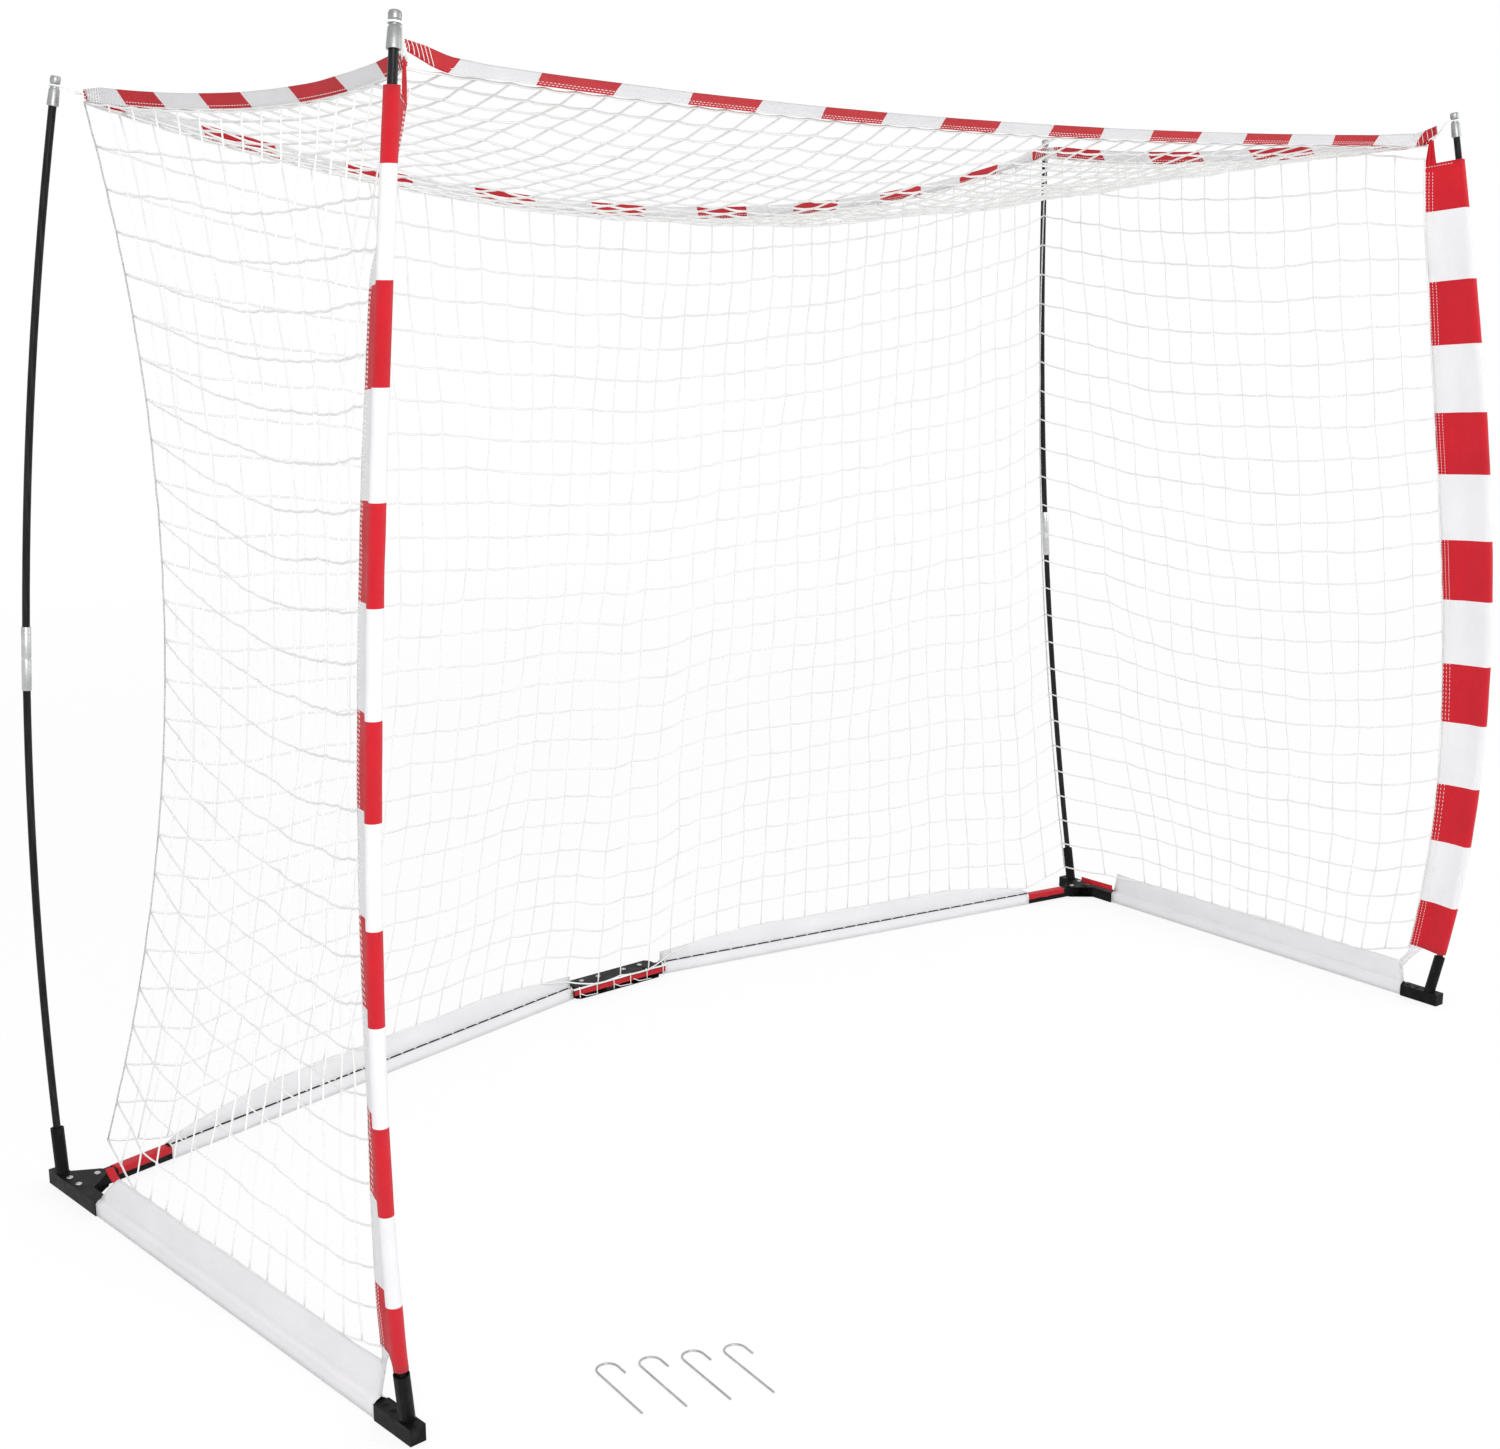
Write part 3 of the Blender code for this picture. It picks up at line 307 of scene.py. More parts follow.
class Tubes:
    """Collects round strands, knots and stitches into one mesh."""

    def __init__(self):
        self.points, self.faces = [], []

    def strand(self, path, radius, sides=4, hint=Vector((1, 0, 0)), closed=False):
        radii = radius if isinstance(radius, list) else [radius] * len(path)
        first = len(self.points)
        angles = [2 * math.pi * i / sides for i in range(sides)]
        turns = [(math.cos(t), math.sin(t)) for t in angles]
        if closed:
            path, radii = path + path[:1], radii + radii[:1]
        for place, (across, over), size in zip(path, axes_along(path, hint), radii):
            self.points += [place + size * (c * across + s * over) for c, s in turns]
        for r in range(len(path) - 1):
            a = first + r * sides
            for i in range(sides):
                j = (i + 1) % sides
                self.faces.append((a + i, a + j, a + sides + j, a + sides + i))
        last = len(self.points) - sides
        self.faces += [tuple(range(first, first + sides)), tuple(range(last, last + sides))]

    def knot(self, place, size, turn=0.0):
        first = len(self.points)
        c, s = math.cos(turn) * size, math.sin(turn) * size
        for step in ((c, 0, s), (-s, 0, c), (-c, 0, -s), (s, 0, -c), (0, size, 0), (0, -size, 0)):
            self.points.append(place + Vector(step))
        for i in range(4):
            a, b = first + i, first + (i + 1) % 4
            self.faces += [(a, b, first + 4), (b, a, first + 5)]

    def stitches(self, path, pitch=STITCH_PITCH, length=STITCH_LENGTH, radius=STITCH_RADIUS):
        """Short raised threads at an even pitch along a path."""
        for start, end in zip(path, path[1:]):
            count = max(1, round((end - start).length / pitch))
            way = (end - start) / count
            dash = way * (length / pitch)
            for i in range(count):
                a = start + way * i
                self.strand([a, a + dash * 0.5, a + dash], [radius * 0.5, radius, radius * 0.5], 4)

    def piece(self, name, finish, body, slot, replaced=()):
        return piece(name, self.points, self.faces, [finish], body, replaced)


def cloth_grid(name, rows, materials, body, replaced, pick):
    """A cloth surface through rows of points, with its threads measured in metres."""
    size = len(rows[0])
    points = [p for row in rows for p in row]
    faces, picks = [], []
    for r in range(len(rows) - 1):
        for i in range(size - 1):
            a = r * size + i
            faces.append((a, a + 1, a + size + 1, a + size))
            picks.append(pick(r, i) if pick else 0)
    uvs, along = [], 0.0
    for r, row in enumerate(rows):
        if r:
            along += (row[size // 2] - rows[r - 1][size // 2]).length
        width = 0.0
        for i in range(size):
            if i:
                width += (row[i] - row[i - 1]).length
            uvs.append((width, along))
    return piece(name, points, faces, materials, body, replaced, picks, uvs)


def grid_size(rows):
    """The flat width and length of a cloth grid."""
    middle = len(rows) // 2
    width = sum((b - a).length for a, b in zip(rows[middle], rows[middle][1:]))
    column = len(rows[0]) // 2
    length = sum((b[column] - a[column]).length for a, b in zip(rows, rows[1:]))
    return width, length


def grid_area(rows):
    total = 0.0
    for low, high in zip(rows, rows[1:]):
        for a, b, c, d in zip(low, low[1:], high[1:], high):
            total += ((c - a).cross(d - b)).length / 2
    return total


def cloth_sheet(name, rows, materials, body, replaced=(), pick=None, thickness=CLOTH):
    """A sheet of cloth: its surface through rows of points and its thickness. Its flat size is worked out but
    not used.
    """
    made = cloth_grid(name, rows, materials, body, replaced, pick)
    wall = made.modifiers.new("cloth", "SOLIDIFY")
    wall.thickness, wall.offset = thickness, 0.0
    width, length = grid_size(rows)
    area = grid_area(rows)
    if area > width * length:
        length = area / width * 1.0005


def block_shares(edges):
    """The shares at which a striped cloth has a row of points, with as many rows to each block of colour."""
    inside = range(ROWS_PER_BLOCK)
    return [a + (b - a) * k / ROWS_PER_BLOCK for a, b in zip(edges, edges[1:]) for k in inside] + [edges[-1]]


def block_colour(row, _):
    """Red and white in turn."""
    return (row // ROWS_PER_BLOCK) % 2


# The goal's lines

class Plan:
    """A flat frame on the ground: an origin, a direction inward and a direction along."""

    def __init__(self, origin, inward, along):
        self.origin, self.inward, self.along = origin, inward, along

    def at(self, inward, along, height=0.0):
        return self.origin + inward * self.inward + along * self.along + height * UP


def arm_plan(side):
    """The side bar's plan, from the goal's front corner."""
    front = Vector((side * FRONT_WIDTH / 2, 0, 0))
    along = (Vector((side * REAR_WIDTH / 2, DEPTH, 0)) - front).normalized()
    return Plan(front, Vector((-side * along.y, side * along.x, 0)), along)


ARM_LENGTH = math.hypot((REAR_WIDTH - FRONT_WIDTH) / 2, DEPTH)
SIDE_SKIRT = (0.077, ARM_LENGTH - 0.177)


def corner_pivot(side):
    return arm_plan(side).at(PIVOT_INSET, ARM_LENGTH - PIVOT_AHEAD)


def bar_plan(side):
    """The rear bar's plan, from its rivet in the middle hinge."""
    start = Vector((side * PIVOT_SPACING / 2, HINGE_Y, 0))
    along = (corner_pivot(side) - start).normalized()
    return Plan(start, Vector((side * along.y, -side * along.x, 0)), along)


BAR_LENGTH = (corner_pivot(1) - Vector((PIVOT_SPACING / 2, HINGE_Y, 0))).length
REAR_SKIRT = (0.1075, BAR_LENGTH - 0.170)
RIVET_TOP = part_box("middle_hinge_bottom_plate")[1].z


def side_skirt_height(side, along):
    """The side skirt's strip is cut off at a slant beside the rear corner, more so on the left."""
    near_end = min(1.0, max(0.0, (SIDE_SKIRT[1] - along) / (0.055 if side < 0 else 0.010)))
    return SKIRT_LOW_TOP + (SKIRT_HEIGHT - SKIRT_LOW_TOP) * near_end


def rear_skirt_height(along):
    """The rear skirt's strip is lower beside the hinge and runs out to nothing beside the corner hem."""
    near_end = min(1.0, max(0.0, (REAR_SKIRT[1] - along) / 0.30)) ** 0.6
    near_hinge = min(1.0, 0.45 + max(0.0, along - REAR_SKIRT[0]) / 0.45)
    return SKIRT_LOW_TOP + (REAR_SKIRT_HEIGHT - SKIRT_LOW_TOP) * near_end * near_hinge


def pole_point(side, rear, share):
    """A point on a bowed pole's axis, from 0 at its foot to 1 at its cap's top."""
    foot = Vector((side * (REAR_WIDTH if rear else FRONT_WIDTH) / 2, DEPTH if rear else 0.0, POLE_FOOT))
    top = Vector((side * TOP_WIDTH[rear] / 2, foot.y + TOP_SETBACK[rear], POLE_TOP))
    bow = 4 * share * (1 - share) * (1 + BOW_SKEW[rear] * (1 - 2 * share))
    return foot.lerp(top, share) + Vector((side * BOW_OUT[rear], BOW_BACK[rear], 0)) * bow


SOCKET_SHARE = SOCKET_LENGTH / POLE_SPAN
FERRULE = [FERRULE_SHARE + end * FERRULE_LENGTH / 2 / POLE_SPAN for end in (-1, 1)]
CAP_SHARE = 1 - CAP_LENGTH / POLE_SPAN
SLEEVE_LOW, SLEEVE_HIGH = SOCKET_SHARE + 0.006 / POLE_SPAN, 1 - 0.104 / POLE_SPAN


def flap_edge(side, share):
    """The flap looks back along the side, and turns in towards the tapes' corner near its top."""
    near_top = max(0.0, (share - FLAP_TURNS_FROM) / (1 - FLAP_TURNS_FROM))
    near_foot = max(0.0, 1 - share / 0.25)
    turn = FLAP_TURN + (FLAP_TURN_TOP - FLAP_TURN) * near_top + (FLAP_TURN_FOOT - FLAP_TURN) * near_foot
    way = Vector((-side * math.cos(turn), math.sin(turn), 0))
    width = FLAP_WIDTH_END + (FLAP_WIDTH_MIDDLE - FLAP_WIDTH_END) * math.sin(math.pi * share ** 1.35) ** 0.8
    width += (FLAP_WIDTH_FOOT - FLAP_WIDTH_END) * near_foot
    return pole_point(side, False, share) + way * width


def slack(share, sag, drawn=Vector((0, 0, 0))):
    return 4 * share * (1 - share) * (drawn - sag * UP)


def tape_corner(side, rear):
    """The corner where two tapes meet, inside the cap that it is tied to."""
    top = pole_point(side, rear, 1)
    inward = -1 if rear else 1
    return Vector((top.x - side * TIE_REACH, top.y + inward * TIE_REACH, POLE_TOP - TAPE_BELOW_TOP[rear]))


def front_tape(share):
    line = tape_corner(-1, False).lerp(tape_corner(1, False), share)
    return line + slack(share, FRONT_TAPE_SAG, Vector((0, FRONT_TAPE_DRAWN_BACK, 0)))


def rear_tape(share):
    line = tape_corner(-1, True).lerp(tape_corner(1, True), share)
    return line + slack(share, REAR_TAPE_SAG, Vector((0, -REAR_TAPE_DRAWN_IN, 0)))


def side_tape(side, share):
    line = tape_corner(side, False).lerp(tape_corner(side, True), share)
    return line + slack(share, SIDE_TAPE_SAG, Vector((-side * SIDE_TAPE_DRAWN_IN, 0, 0)))


def net_corner(side, share):
    """The upright line beside a rear pole in which a side net and the back net meet."""
    low = bar_plan(side).at(0, BAR_LENGTH - NET_CORNER_BACK, SKIRT_HEIGHT)
    high = tape_corner(side, True) - UP * TAPE_HEIGHT / 2
    drawn = Vector((-side * CORNER_DRAWN_IN, -CORNER_DRAWN_FORWARD, 0))
    return low.lerp(high, share) + drawn * 4 * share * (1 - share)


def settle(path, first, last, share=0.12):
    """A path whose ends are drawn to two given points."""
    def drawn(u):
        place = path(u)
        if u < share:
            place = place + (first - path(0)) * (1 - u / share)
        if u > 1 - share:
            place = place + (last - path(1)) * (1 - (1 - u) / share)
        return place
    return drawn


def patch(low, high, left, right, bulge):
    """A surface between four edges, bulging in its middle."""
    def surface(u, v):
        flat = (1 - v) * low(u) + v * high(u) + (1 - u) * left(v) + u * right(v)
        corners = ((1 - u) * (1 - v) * low(0) + u * (1 - v) * low(1)
                   + (1 - u) * v * high(0) + u * v * high(1))
        return flat - corners + bulge * 16 * u * (1 - u) * v * (1 - v)
    return surface


def back_panel(side):
    """Half of the back net, whose lower edge runs on the rear skirt and dips to the hinge's cord."""
    plan = bar_plan(side)
    middle_low = Vector((0, HINGE_Y - HINGE_PLATE_FRONT, HINGE_CORD_HEIGHT))
    middle_high = rear_tape(0.5) - UP * TAPE_HEIGHT / 2

    def low(u):
        along = (1 - u) * (BAR_LENGTH - NET_CORNER_BACK)
        dip = min(1.0, max(0.0, (REAR_SKIRT[0] + 0.05 - along) / 0.07))
        on_skirt = plan.at(0, along, rear_skirt_height(along))
        at_cord = plan.at(HINGE_PLATE_FRONT, along, HINGE_CORD_HEIGHT)
        return on_skirt.lerp(at_cord, dip)

    def high(u):
        return rear_tape(u / 2 if side < 0 else 1 - u / 2) - UP * TAPE_HEIGHT / 2

    return patch(settle(low, net_corner(side, 0), middle_low), settle(high, net_corner(side, 1), middle_high),
                 lambda v: net_corner(side, v), lambda v: middle_low.lerp(middle_high, v),
                 Vector((0, -BACK_NET_BULGE, 0)))


def whole_back(u, v):
    """The two back panels as one surface, from the left corner to the right."""
    return BACK_PANELS[-1](u * 2, v) if u < 0.5 else BACK_PANELS[1](2 - u * 2, v)


def side_panel(side):
    plan = arm_plan(side)

    def flap(v):
        return flap_edge(side, SLEEVE_LOW + (SLEEVE_HIGH - SLEEVE_LOW) * v)

    def low(u):
        return plan.at(SKIRT_LEAN, SIDE_SKIRT[0] + u * (SIDE_SKIRT[1] - SIDE_SKIRT[0]), SKIRT_HEIGHT)

    return patch(settle(low, flap(0), net_corner(side, 0)),
                 settle(lambda u: side_tape(side, u) - UP * TAPE_HEIGHT / 2, flap(1), net_corner(side, 1)),
                 flap, lambda v: net_corner(side, v), Vector((0, 0, -WALL_NET_SAG)))


def roof_panel():
    """The roof hangs from the tapes' lower edges, just inside them."""
    drop = -UP * TAPE_HEIGHT * 0.42

    def inside(path, across, back):
        return lambda s: path(s) + drop + 0.003 * Vector((across(s), back(s), 0))

    def turning(s):
        return 1 - 2 * s

    return patch(inside(front_tape, turning, lambda s: 1), inside(rear_tape, turning, lambda s: -1),
                 inside(lambda s: side_tape(-1, s), lambda s: 1, turning),
                 inside(lambda s: side_tape(1, s), lambda s: -1, turning), Vector((0, 0, -TOP_NET_SAG)))


BACK_PANELS = {side: back_panel(side) for side, _ in SIDES}


# Nets

def net(name, surface, columns, rows, replaced, looseness=0.010):
    """A knotted net over a surface. Knots wander a little, and strands hang slack between them."""
    def knot_place(i, j):
        u, v = i / columns, j / rows
        place = surface(u, v)
        free = min(1.0, 0.55 * min(i, columns - i, j, rows - j))
        wander = noise.noise_vector(place * 5.2) * looseness
        wander += noise.noise_vector(place * 17.0) * looseness * 0.45
        return place + wander * free

    grid = [[knot_place(i, j) for j in range(rows + 1)] for i in range(columns + 1)]
    web = Tubes()

    def slackened(knots, droop):
        path = []
        for a, b in zip(knots, knots[1:]):
            path.append(a)
            for share in (1 / 3, 2 / 3):
                loose = noise.noise_vector((a + b) * 31.0 + Vector((share * 9, 0, 0))) * 0.0012
                path.append(a.lerp(b, share) + loose - UP * droop)
        return path + [knots[-1]]

    for i, column in enumerate(grid):
        web.strand(slackened(column, 0.0), TWINE_RADIUS, 4, Vector((1, 0.2, 0)))
    for j in range(rows + 1):
        web.strand(slackened([column[j] for column in grid], 0.0022), TWINE_RADIUS, 4, UP)
    for i, column in enumerate(grid):
        for j, place in enumerate(column):
            web.knot(place, TWINE_RADIUS * 1.5, i * 1.3 + j * 0.7)
    web.piece(name, TWINE, "centre_hinge", "net_twine", replaced)


BACK_COLUMNS, NET_ROWS, SIDE_COLUMNS, ROOF_COLUMNS = 42, 26, 16, 40
net("back_net", whole_back, BACK_COLUMNS, NET_ROWS, ["back_net_left", "back_net_right"])
for side, word in SIDES:
    net(f"{word}_wall_net", side_panel(side), SIDE_COLUMNS, NET_ROWS, [f"{word}_side_net"])
net("roof_net", roof_panel(), ROOF_COLUMNS, SIDE_COLUMNS, ["top_net"], 0.008)


# Poles, sockets, caps and pegs

def keep_edges(made):
    """Leaves a round piece smooth along its sides and sharp at its rims."""
    made.data.set_sharp_from_angle(angle=math.radians(38))


def turned(name, base, way, profile, finish, body, replaced):
    """A turned piece: a profile of (radius, height) pairs round an axis."""
    sides = 32
    across = (Vector((1, 0, 0)) - way.x * way).normalized()
    over = way.cross(across)
    points, faces = [], []
    for radius, height in profile:
        for i in range(sides):
            t = 2 * math.pi * i / sides
            points.append(base + way * height + radius * (math.cos(t) * across + math.sin(t) * over))
    for r in range(len(profile) - 1):
        for i in range(sides):
            j = (i + 1) % sides
            a = r * sides
            faces.append((a + i, a + j, a + sides + j, a + sides + i))
    last = len(points) - sides
    faces += [tuple(range(sides)), tuple(range(last, last + sides))]
    keep_edges(piece(name, points, faces, [finish], body, replaced))


def rod(name, path, radii, body, replaced):
    tube = Tubes()
    tube.strand(path, radii, 24)
    keep_edges(tube.piece(name, ROD, body, "fibreglass_rod", replaced))


def ferrule_profile(long):
    """The join tube's wall, bevelled at both ends and rolled in at its middle."""
    bore, outer, bevel, rim, rolled = ROD_BORE, 0.0095, 0.0006, 0.0004, 0.0005
    return [(bore, long / 2), (bore, bevel), (bore + 0.0003, 0), (outer - rim, 0), (outer, bevel),
            (outer, long / 2 - 0.004), (outer - rolled, long / 2 - 0.002), (outer - rolled, long / 2 + 0.002),
            (outer, long / 2 + 0.004), (outer, long - bevel), (outer - rim, long), (bore, long),
            (bore, long / 2 + 0.0002)]


def cap_profile():
    """The cap from its bore down to its mouth, up its skirt, in at the neck and over its head."""
    bore, foot, outer, neck, mouth = ROD_BORE, 0.0112, 0.0098, 0.0080, CAP_MOUTH
    return [(bore, 0.0383), (bore, mouth), (foot - 0.0006, mouth), (foot, mouth + 0.0008), (outer, 0.0390),
            (neck + 0.0004, 0.0412), (neck, 0.0425), (neck, 0.0485), (neck + 0.0004, 0.0496),
            (outer - 0.0002, 0.0512), (outer, 0.0518), (outer, 0.0600), (outer - 0.0012, 0.0628),
            (outer - 0.0034, 0.0640), (0.0030, 0.0640), (0.0022, 0.0625)]


def pole_pieces(side, rear, word):
    def at(share):
        return pole_point(side, rear, share)

    body = f"{word}_pole"
    way = (at(SOCKET_SHARE) - at(0)).normalized()
    cap_way = (at(1) - at(CAP_SHARE)).normalized()
    join = (at(FERRULE[1]) - at(FERRULE[0])).normalized()
    middle = at(FERRULE[0]).lerp(at(FERRULE[1]), 0.5)
    low = [at(0), at(0) + way * THICK_FOOT, at(0) + way * (THICK_FOOT + 0.0015),
           *[at(s) for s in spread(SOCKET_SHARE, FERRULE[0], 14)], middle - join * ROD_GAP]
    radii = [THICK_RADIUS] * 2 + [ROD_RADIUS] * (len(low) - 2)
    rod(f"{word}_lower_rod", low, radii, body, [f"{word}_pole_lower"])
    high = [middle + join * ROD_GAP, at(FERRULE[1]), *[at(s) for s in spread(FERRULE[1], CAP_SHARE, 14)[1:]],
            at(CAP_SHARE) + cap_way * ROD_IN_CAP]
    rod(f"{word}_upper_rod", high, ROD_RADIUS, f"{word}_pole_top", [f"{word}_pole_upper"])
    profile = ferrule_profile((at(FERRULE[1]) - at(FERRULE[0])).length)
    turned(f"{word}_join_tube", at(FERRULE[0]), join, profile, ZINC, body, [f"{word}_ferrule"])
    turned(f"{word}_end_cap", at(CAP_SHARE), cap_way, cap_profile(), TURNED, f"{word}_pole_top",
           [f"{word}_cap"])


for side, word in SIDES:
    for is_rear, end in ((False, "front"), (True, "rear")):
        pole_pieces(side, is_rear, f"{end}_{word}")

for name, node in NODES.items():
    node.data.materials.clear()
    node.data.materials.append(WIRE if "peg" in name else BLACK)


# Post sleeves

def sleeve_bands():
    """The shares at which the sleeve changes colour, from its top down."""
    edges, lengths = [SLEEVE_HIGH], [TOP_BAND]
    while edges[-1] > SLEEVE_LOW:
        edges.append(max(SLEEVE_LOW, edges[-1] - lengths[-1] / POLE_SPAN))
        lengths.append(WHITE_BAND if len(lengths) % 2 else RED_BAND)
    return edges


SLEEVE_BANDS = sleeve_bands()


def flap_place(side, share, u, face, proud=0.0):
    """A point on one of the flap's two layers.

    u is 0 at the pole and 1 at the free edge, and face is 1 or -1, or 0 for the middle between the layers.
    """
    centre, edge = pole_point(side, False, share), flap_edge(side, share)
    cross = UP.cross((edge - centre).normalized())
    fold = noise.noise(Vector((u * 2.4 + side, 5 + face * 0.12, share * 17)))
    crease = noise.noise(Vector((u * 5 + side * 2, 1, share * 60))) * 0.3
    ripple = FLAP_RIPPLE * (fold + crease) * math.sin(math.pi * min(1, (1 - u) * 1.15 + 0.02)) ** 0.6
    gap = FLAP_GAP + (SLEEVE_RADIUS - FLAP_GAP) * max(0.0, 1 - u / 0.55) ** 1.4 + proud
    return centre.lerp(edge, u) + cross * (ripple + face * gap)


def sleeve_share(side, share, u):
    """The bands lie square to the bowed pole, and the top edge slopes down to the flap's free corner too."""
    top_band = SLEEVE_BANDS[1]
    near_top = max(0.0, (share - top_band) / (SLEEVE_HIGH - top_band))
    return share - (BAND_SLOPE * (1.6 * share - 0.6) + SLEEVE_SLOPE[side] * near_top) * u / POLE_SPAN


def sleeve(side, word):
    """The cloth from one free edge of the flap, round the pole, and back to the other free edge."""
    turns = [math.radians(a) for a in range(90, 271, 18)]
    rows = []
    for share in block_shares(SLEEVE_BANDS):
        centre = pole_point(side, False, share)
        way = (flap_edge(side, share) - centre).normalized()
        cross = UP.cross(way)
        loose = SLEEVE_RADIUS + 0.0010 * noise.noise(Vector((side * 3, 0, share * 26)))
        front, back = [[flap_place(side, sleeve_share(side, share, u), u, face) for u in spread(1, 0.06, 11)]
                       for face in (1, -1)]
        round_pole = [centre + loose * (math.cos(t) * way + math.sin(t) * cross) for t in turns]
        rows.append(front + round_pole + back[::-1])
    cloth_sheet(f"{word}_sleeve", rows, [RED, WHITE], f"front_{word}_pole",
                [f"{word}_post_sleeve"], block_colour)


def sleeve_seams(side, word):
    """Three rows of stitches along the flap's free edge and one under its top, on both layers."""
    thread = Tubes()
    proud, down = CLOTH / 2 + STITCH_PROUD, TOP_SEAM_DOWN / POLE_SPAN
    for face in (1, -1):
        for inset in SLEEVE_SEAMS:
            seam = []
            for share in spread(SLEEVE_LOW + 0.003, SLEEVE_HIGH - 0.013, 90):
                width = (flap_edge(side, share) - pole_point(side, False, share)).length
                seam.append(flap_place(side, share, 1 - inset / width, face, proud))
            thread.stitches(seam)
        thread.stitches([flap_place(side, sleeve_share(side, SLEEVE_HIGH, u) - down, u, face, proud)
                         for u in spread(0.98, 0.2, 10)])
    thread.piece(f"{word}_sleeve_seams", TWINE, f"front_{word}_pole", "white_cord")


for side, word in SIDES:
    sleeve(side, word)
    sleeve_seams(side, word)


# Top tapes

def tape_half(share, length):
    near = min(share, 1 - share) * length
    return (TAPE_END_HEIGHT + (TAPE_HEIGHT - TAPE_END_HEIGHT) * min(1.0, near / TAPE_TAPER)) / 2


def tape_place(path, length, share, height, tilt, face=0.0):
    """A point on a tape: height is -1 at its lower edge and 1 at its upper, and face stands off it."""
    place = path(share)
    way = (path(min(share + 0.01, 1)) - path(max(share - 0.01, 0))).normalized()
    across = way.cross(UP).normalized()
    half = tape_half(share, length)
    drawn = 1 - half * 2 / TAPE_HEIGHT
    tilt = tilt * min(1.0, min(share, 1 - share) * length / TAPE_LEVELS)
    wave = noise.noise(place * 7) * 0.005 * height + noise.noise(place * 22) * 0.0012
    pleat = 0.0045 * drawn * math.sin(height * 3 * math.pi)
    up = (UP * math.cos(tilt) - across * math.sin(tilt)) * half * height
    return place + up + across * (wave + pleat + face)


def tape_length(path):
    return sum((path((i + 1) / 40) - path(i / 40)).length for i in range(40))


def striped_tape(name, path, edges, slant, tilt, replaced):
    """A folded woven tape with slanted blocks of colour between the given shares of its length."""
    across_steps = 8
    length = tape_length(path)
    rows = []
    for base in block_shares(edges):
        near_end = min(1.0, min(base, 1 - base) * length / TAPE_TAPER)
        row = []
        for i in range(across_steps + 1):
            height = i / across_steps * 2 - 1
            share = base + height * slant / 2 / length * near_end
            row.append(tape_place(path, length, min(max(share, 0.0015), 0.9985), height, tilt))
        rows.append(row)
    cloth_sheet(name, rows, [TAPE_RED, TAPE_WHITE], "centre_hinge",
                replaced, block_colour, TAPE_THICK)


def tape_seams(name, path, tilt):
    """Twin rows of stitches along a tape's two faces, and rungs of thread over its pleated ends."""
    length = tape_length(path)
    thread = Tubes()
    proud = TAPE_THICK / 2 + STITCH_PROUD
    for face in (-proud, proud):
        for height in TAPE_SEAMS:
            thread.stitches([tape_place(path, length, s, height, tilt, face) for s in spread(0.03, 0.97, 60)])
        for end in (0, 1):
            for k in range(6):
                share = abs(end - (0.006 + 0.0085 * k) / length)
                rung = [tape_place(path, length, share, h, tilt, face * 1.6)
                        for h in (-0.95, -0.4, 0.2, 0.95)]
                thread.strand(rung, STITCH_RADIUS, 4, UP)
    thread.piece(name, TWINE, "centre_hinge", "white_cord")


def raised_front_tape(share):
    """The front tape, with its pleated ends drawn up and out to the foot of the caps."""
    if share < 0.5:
        return front_tape(share) + Vector((-0.004, -0.004, 0.020)) * max(0.0, 1 - share / 0.034) ** 1.2
    return front_tape(share) + Vector((0.020, -0.012, 0.026)) * max(0.0, 1 - (1 - share) / 0.014)


FRONT_EDGES = [0, *[0.034 + 0.952 * t * (1 + 0.12 * (1 - t)) for t in spread(0, 1, 17)], 1]
REAR_EDGES = [0, *spread(0.029, 0.977, 17), 1]
SIDE_EDGES = {-1: [0, 0.09, 0.230, 0.388, 0.542, 0.667, 0.793, 0.899, 0.992, 1],
              1: [0, 0.115, 0.240, 0.380, 0.509, 0.653, 0.799, 0.964, 1]}
striped_tape("front_tape_cloth", raised_front_tape, FRONT_EDGES, BLOCK_LEAN * 1.2, FRONT_TILT,
             ["front_top_tape"])
striped_tape("rear_tape_cloth", rear_tape, REAR_EDGES, -BLOCK_LEAN * 0.6, REAR_TILT, ["rear_top_tape"])
tape_seams("front_tape_seams", raised_front_tape, FRONT_TILT)
tape_seams("rear_tape_seams", rear_tape, REAR_TILT)
for side, word in SIDES:
    tape = partial(side_tape, side)
    striped_tape(f"{word}_tape_cloth", tape, SIDE_EDGES[side], BLOCK_LEAN, SIDE_TILT * side,
                 [f"{word}_top_tape"])
    tape_seams(f"{word}_tape_seams", tape, SIDE_TILT * side)


# Skirts and hems

def skirt(name, plan, start, end, lean, top_at, body, replaced):
    """White cloth round a base bar, whose two layers stand up as a strip of varying height."""
    inner, low, high = BAR_HALF + CLOTH, BAR_LOW - CLOTH, BAR_HIGH + 0.0010
    steps = max(8, round((end - start) / 0.02))
    from_left = plan.origin.x
    rows = []
    for v in spread(start, end, steps):
        lift = 0.0025 * noise.noise(Vector((v * 8, lean * 50, from_left)))
        sway = 0.0050 * noise.noise(Vector((v * 6, 3 + from_left, 0)))
        heights = spread(top_at(v) + lift, high + 0.007, 6)
        layers = []
        for sign in (1, -1):
            layer = []
            for h in heights:
                share = (h - high) / (SKIRT_HEIGHT - high)
                swell = noise.noise(Vector((v * 9, share * 2, from_left + sign * 0.1))) * 0.0030
                swell *= math.sin(math.pi * share * 0.9)
                apart = sign * (0.0007 + 0.0006 * (1 - share))
                layer.append((lean * share + sway * share + swell + apart, h))
            layers.append(layer + [(sign * inner * 0.55, high + 0.004), (sign * inner, high - 0.001),
                                   (sign * inner, (low + high) / 2), (sign * inner, low + 0.001)])
        under = [(inner * 0.5, low), (0, low - 0.0003), (-inner * 0.5, low)]
        rows.append([plan.at(u, v, z) for u, z in layers[0] + under + layers[1][::-1]])
    cloth_sheet(name, rows, [WHITE], body, replaced)


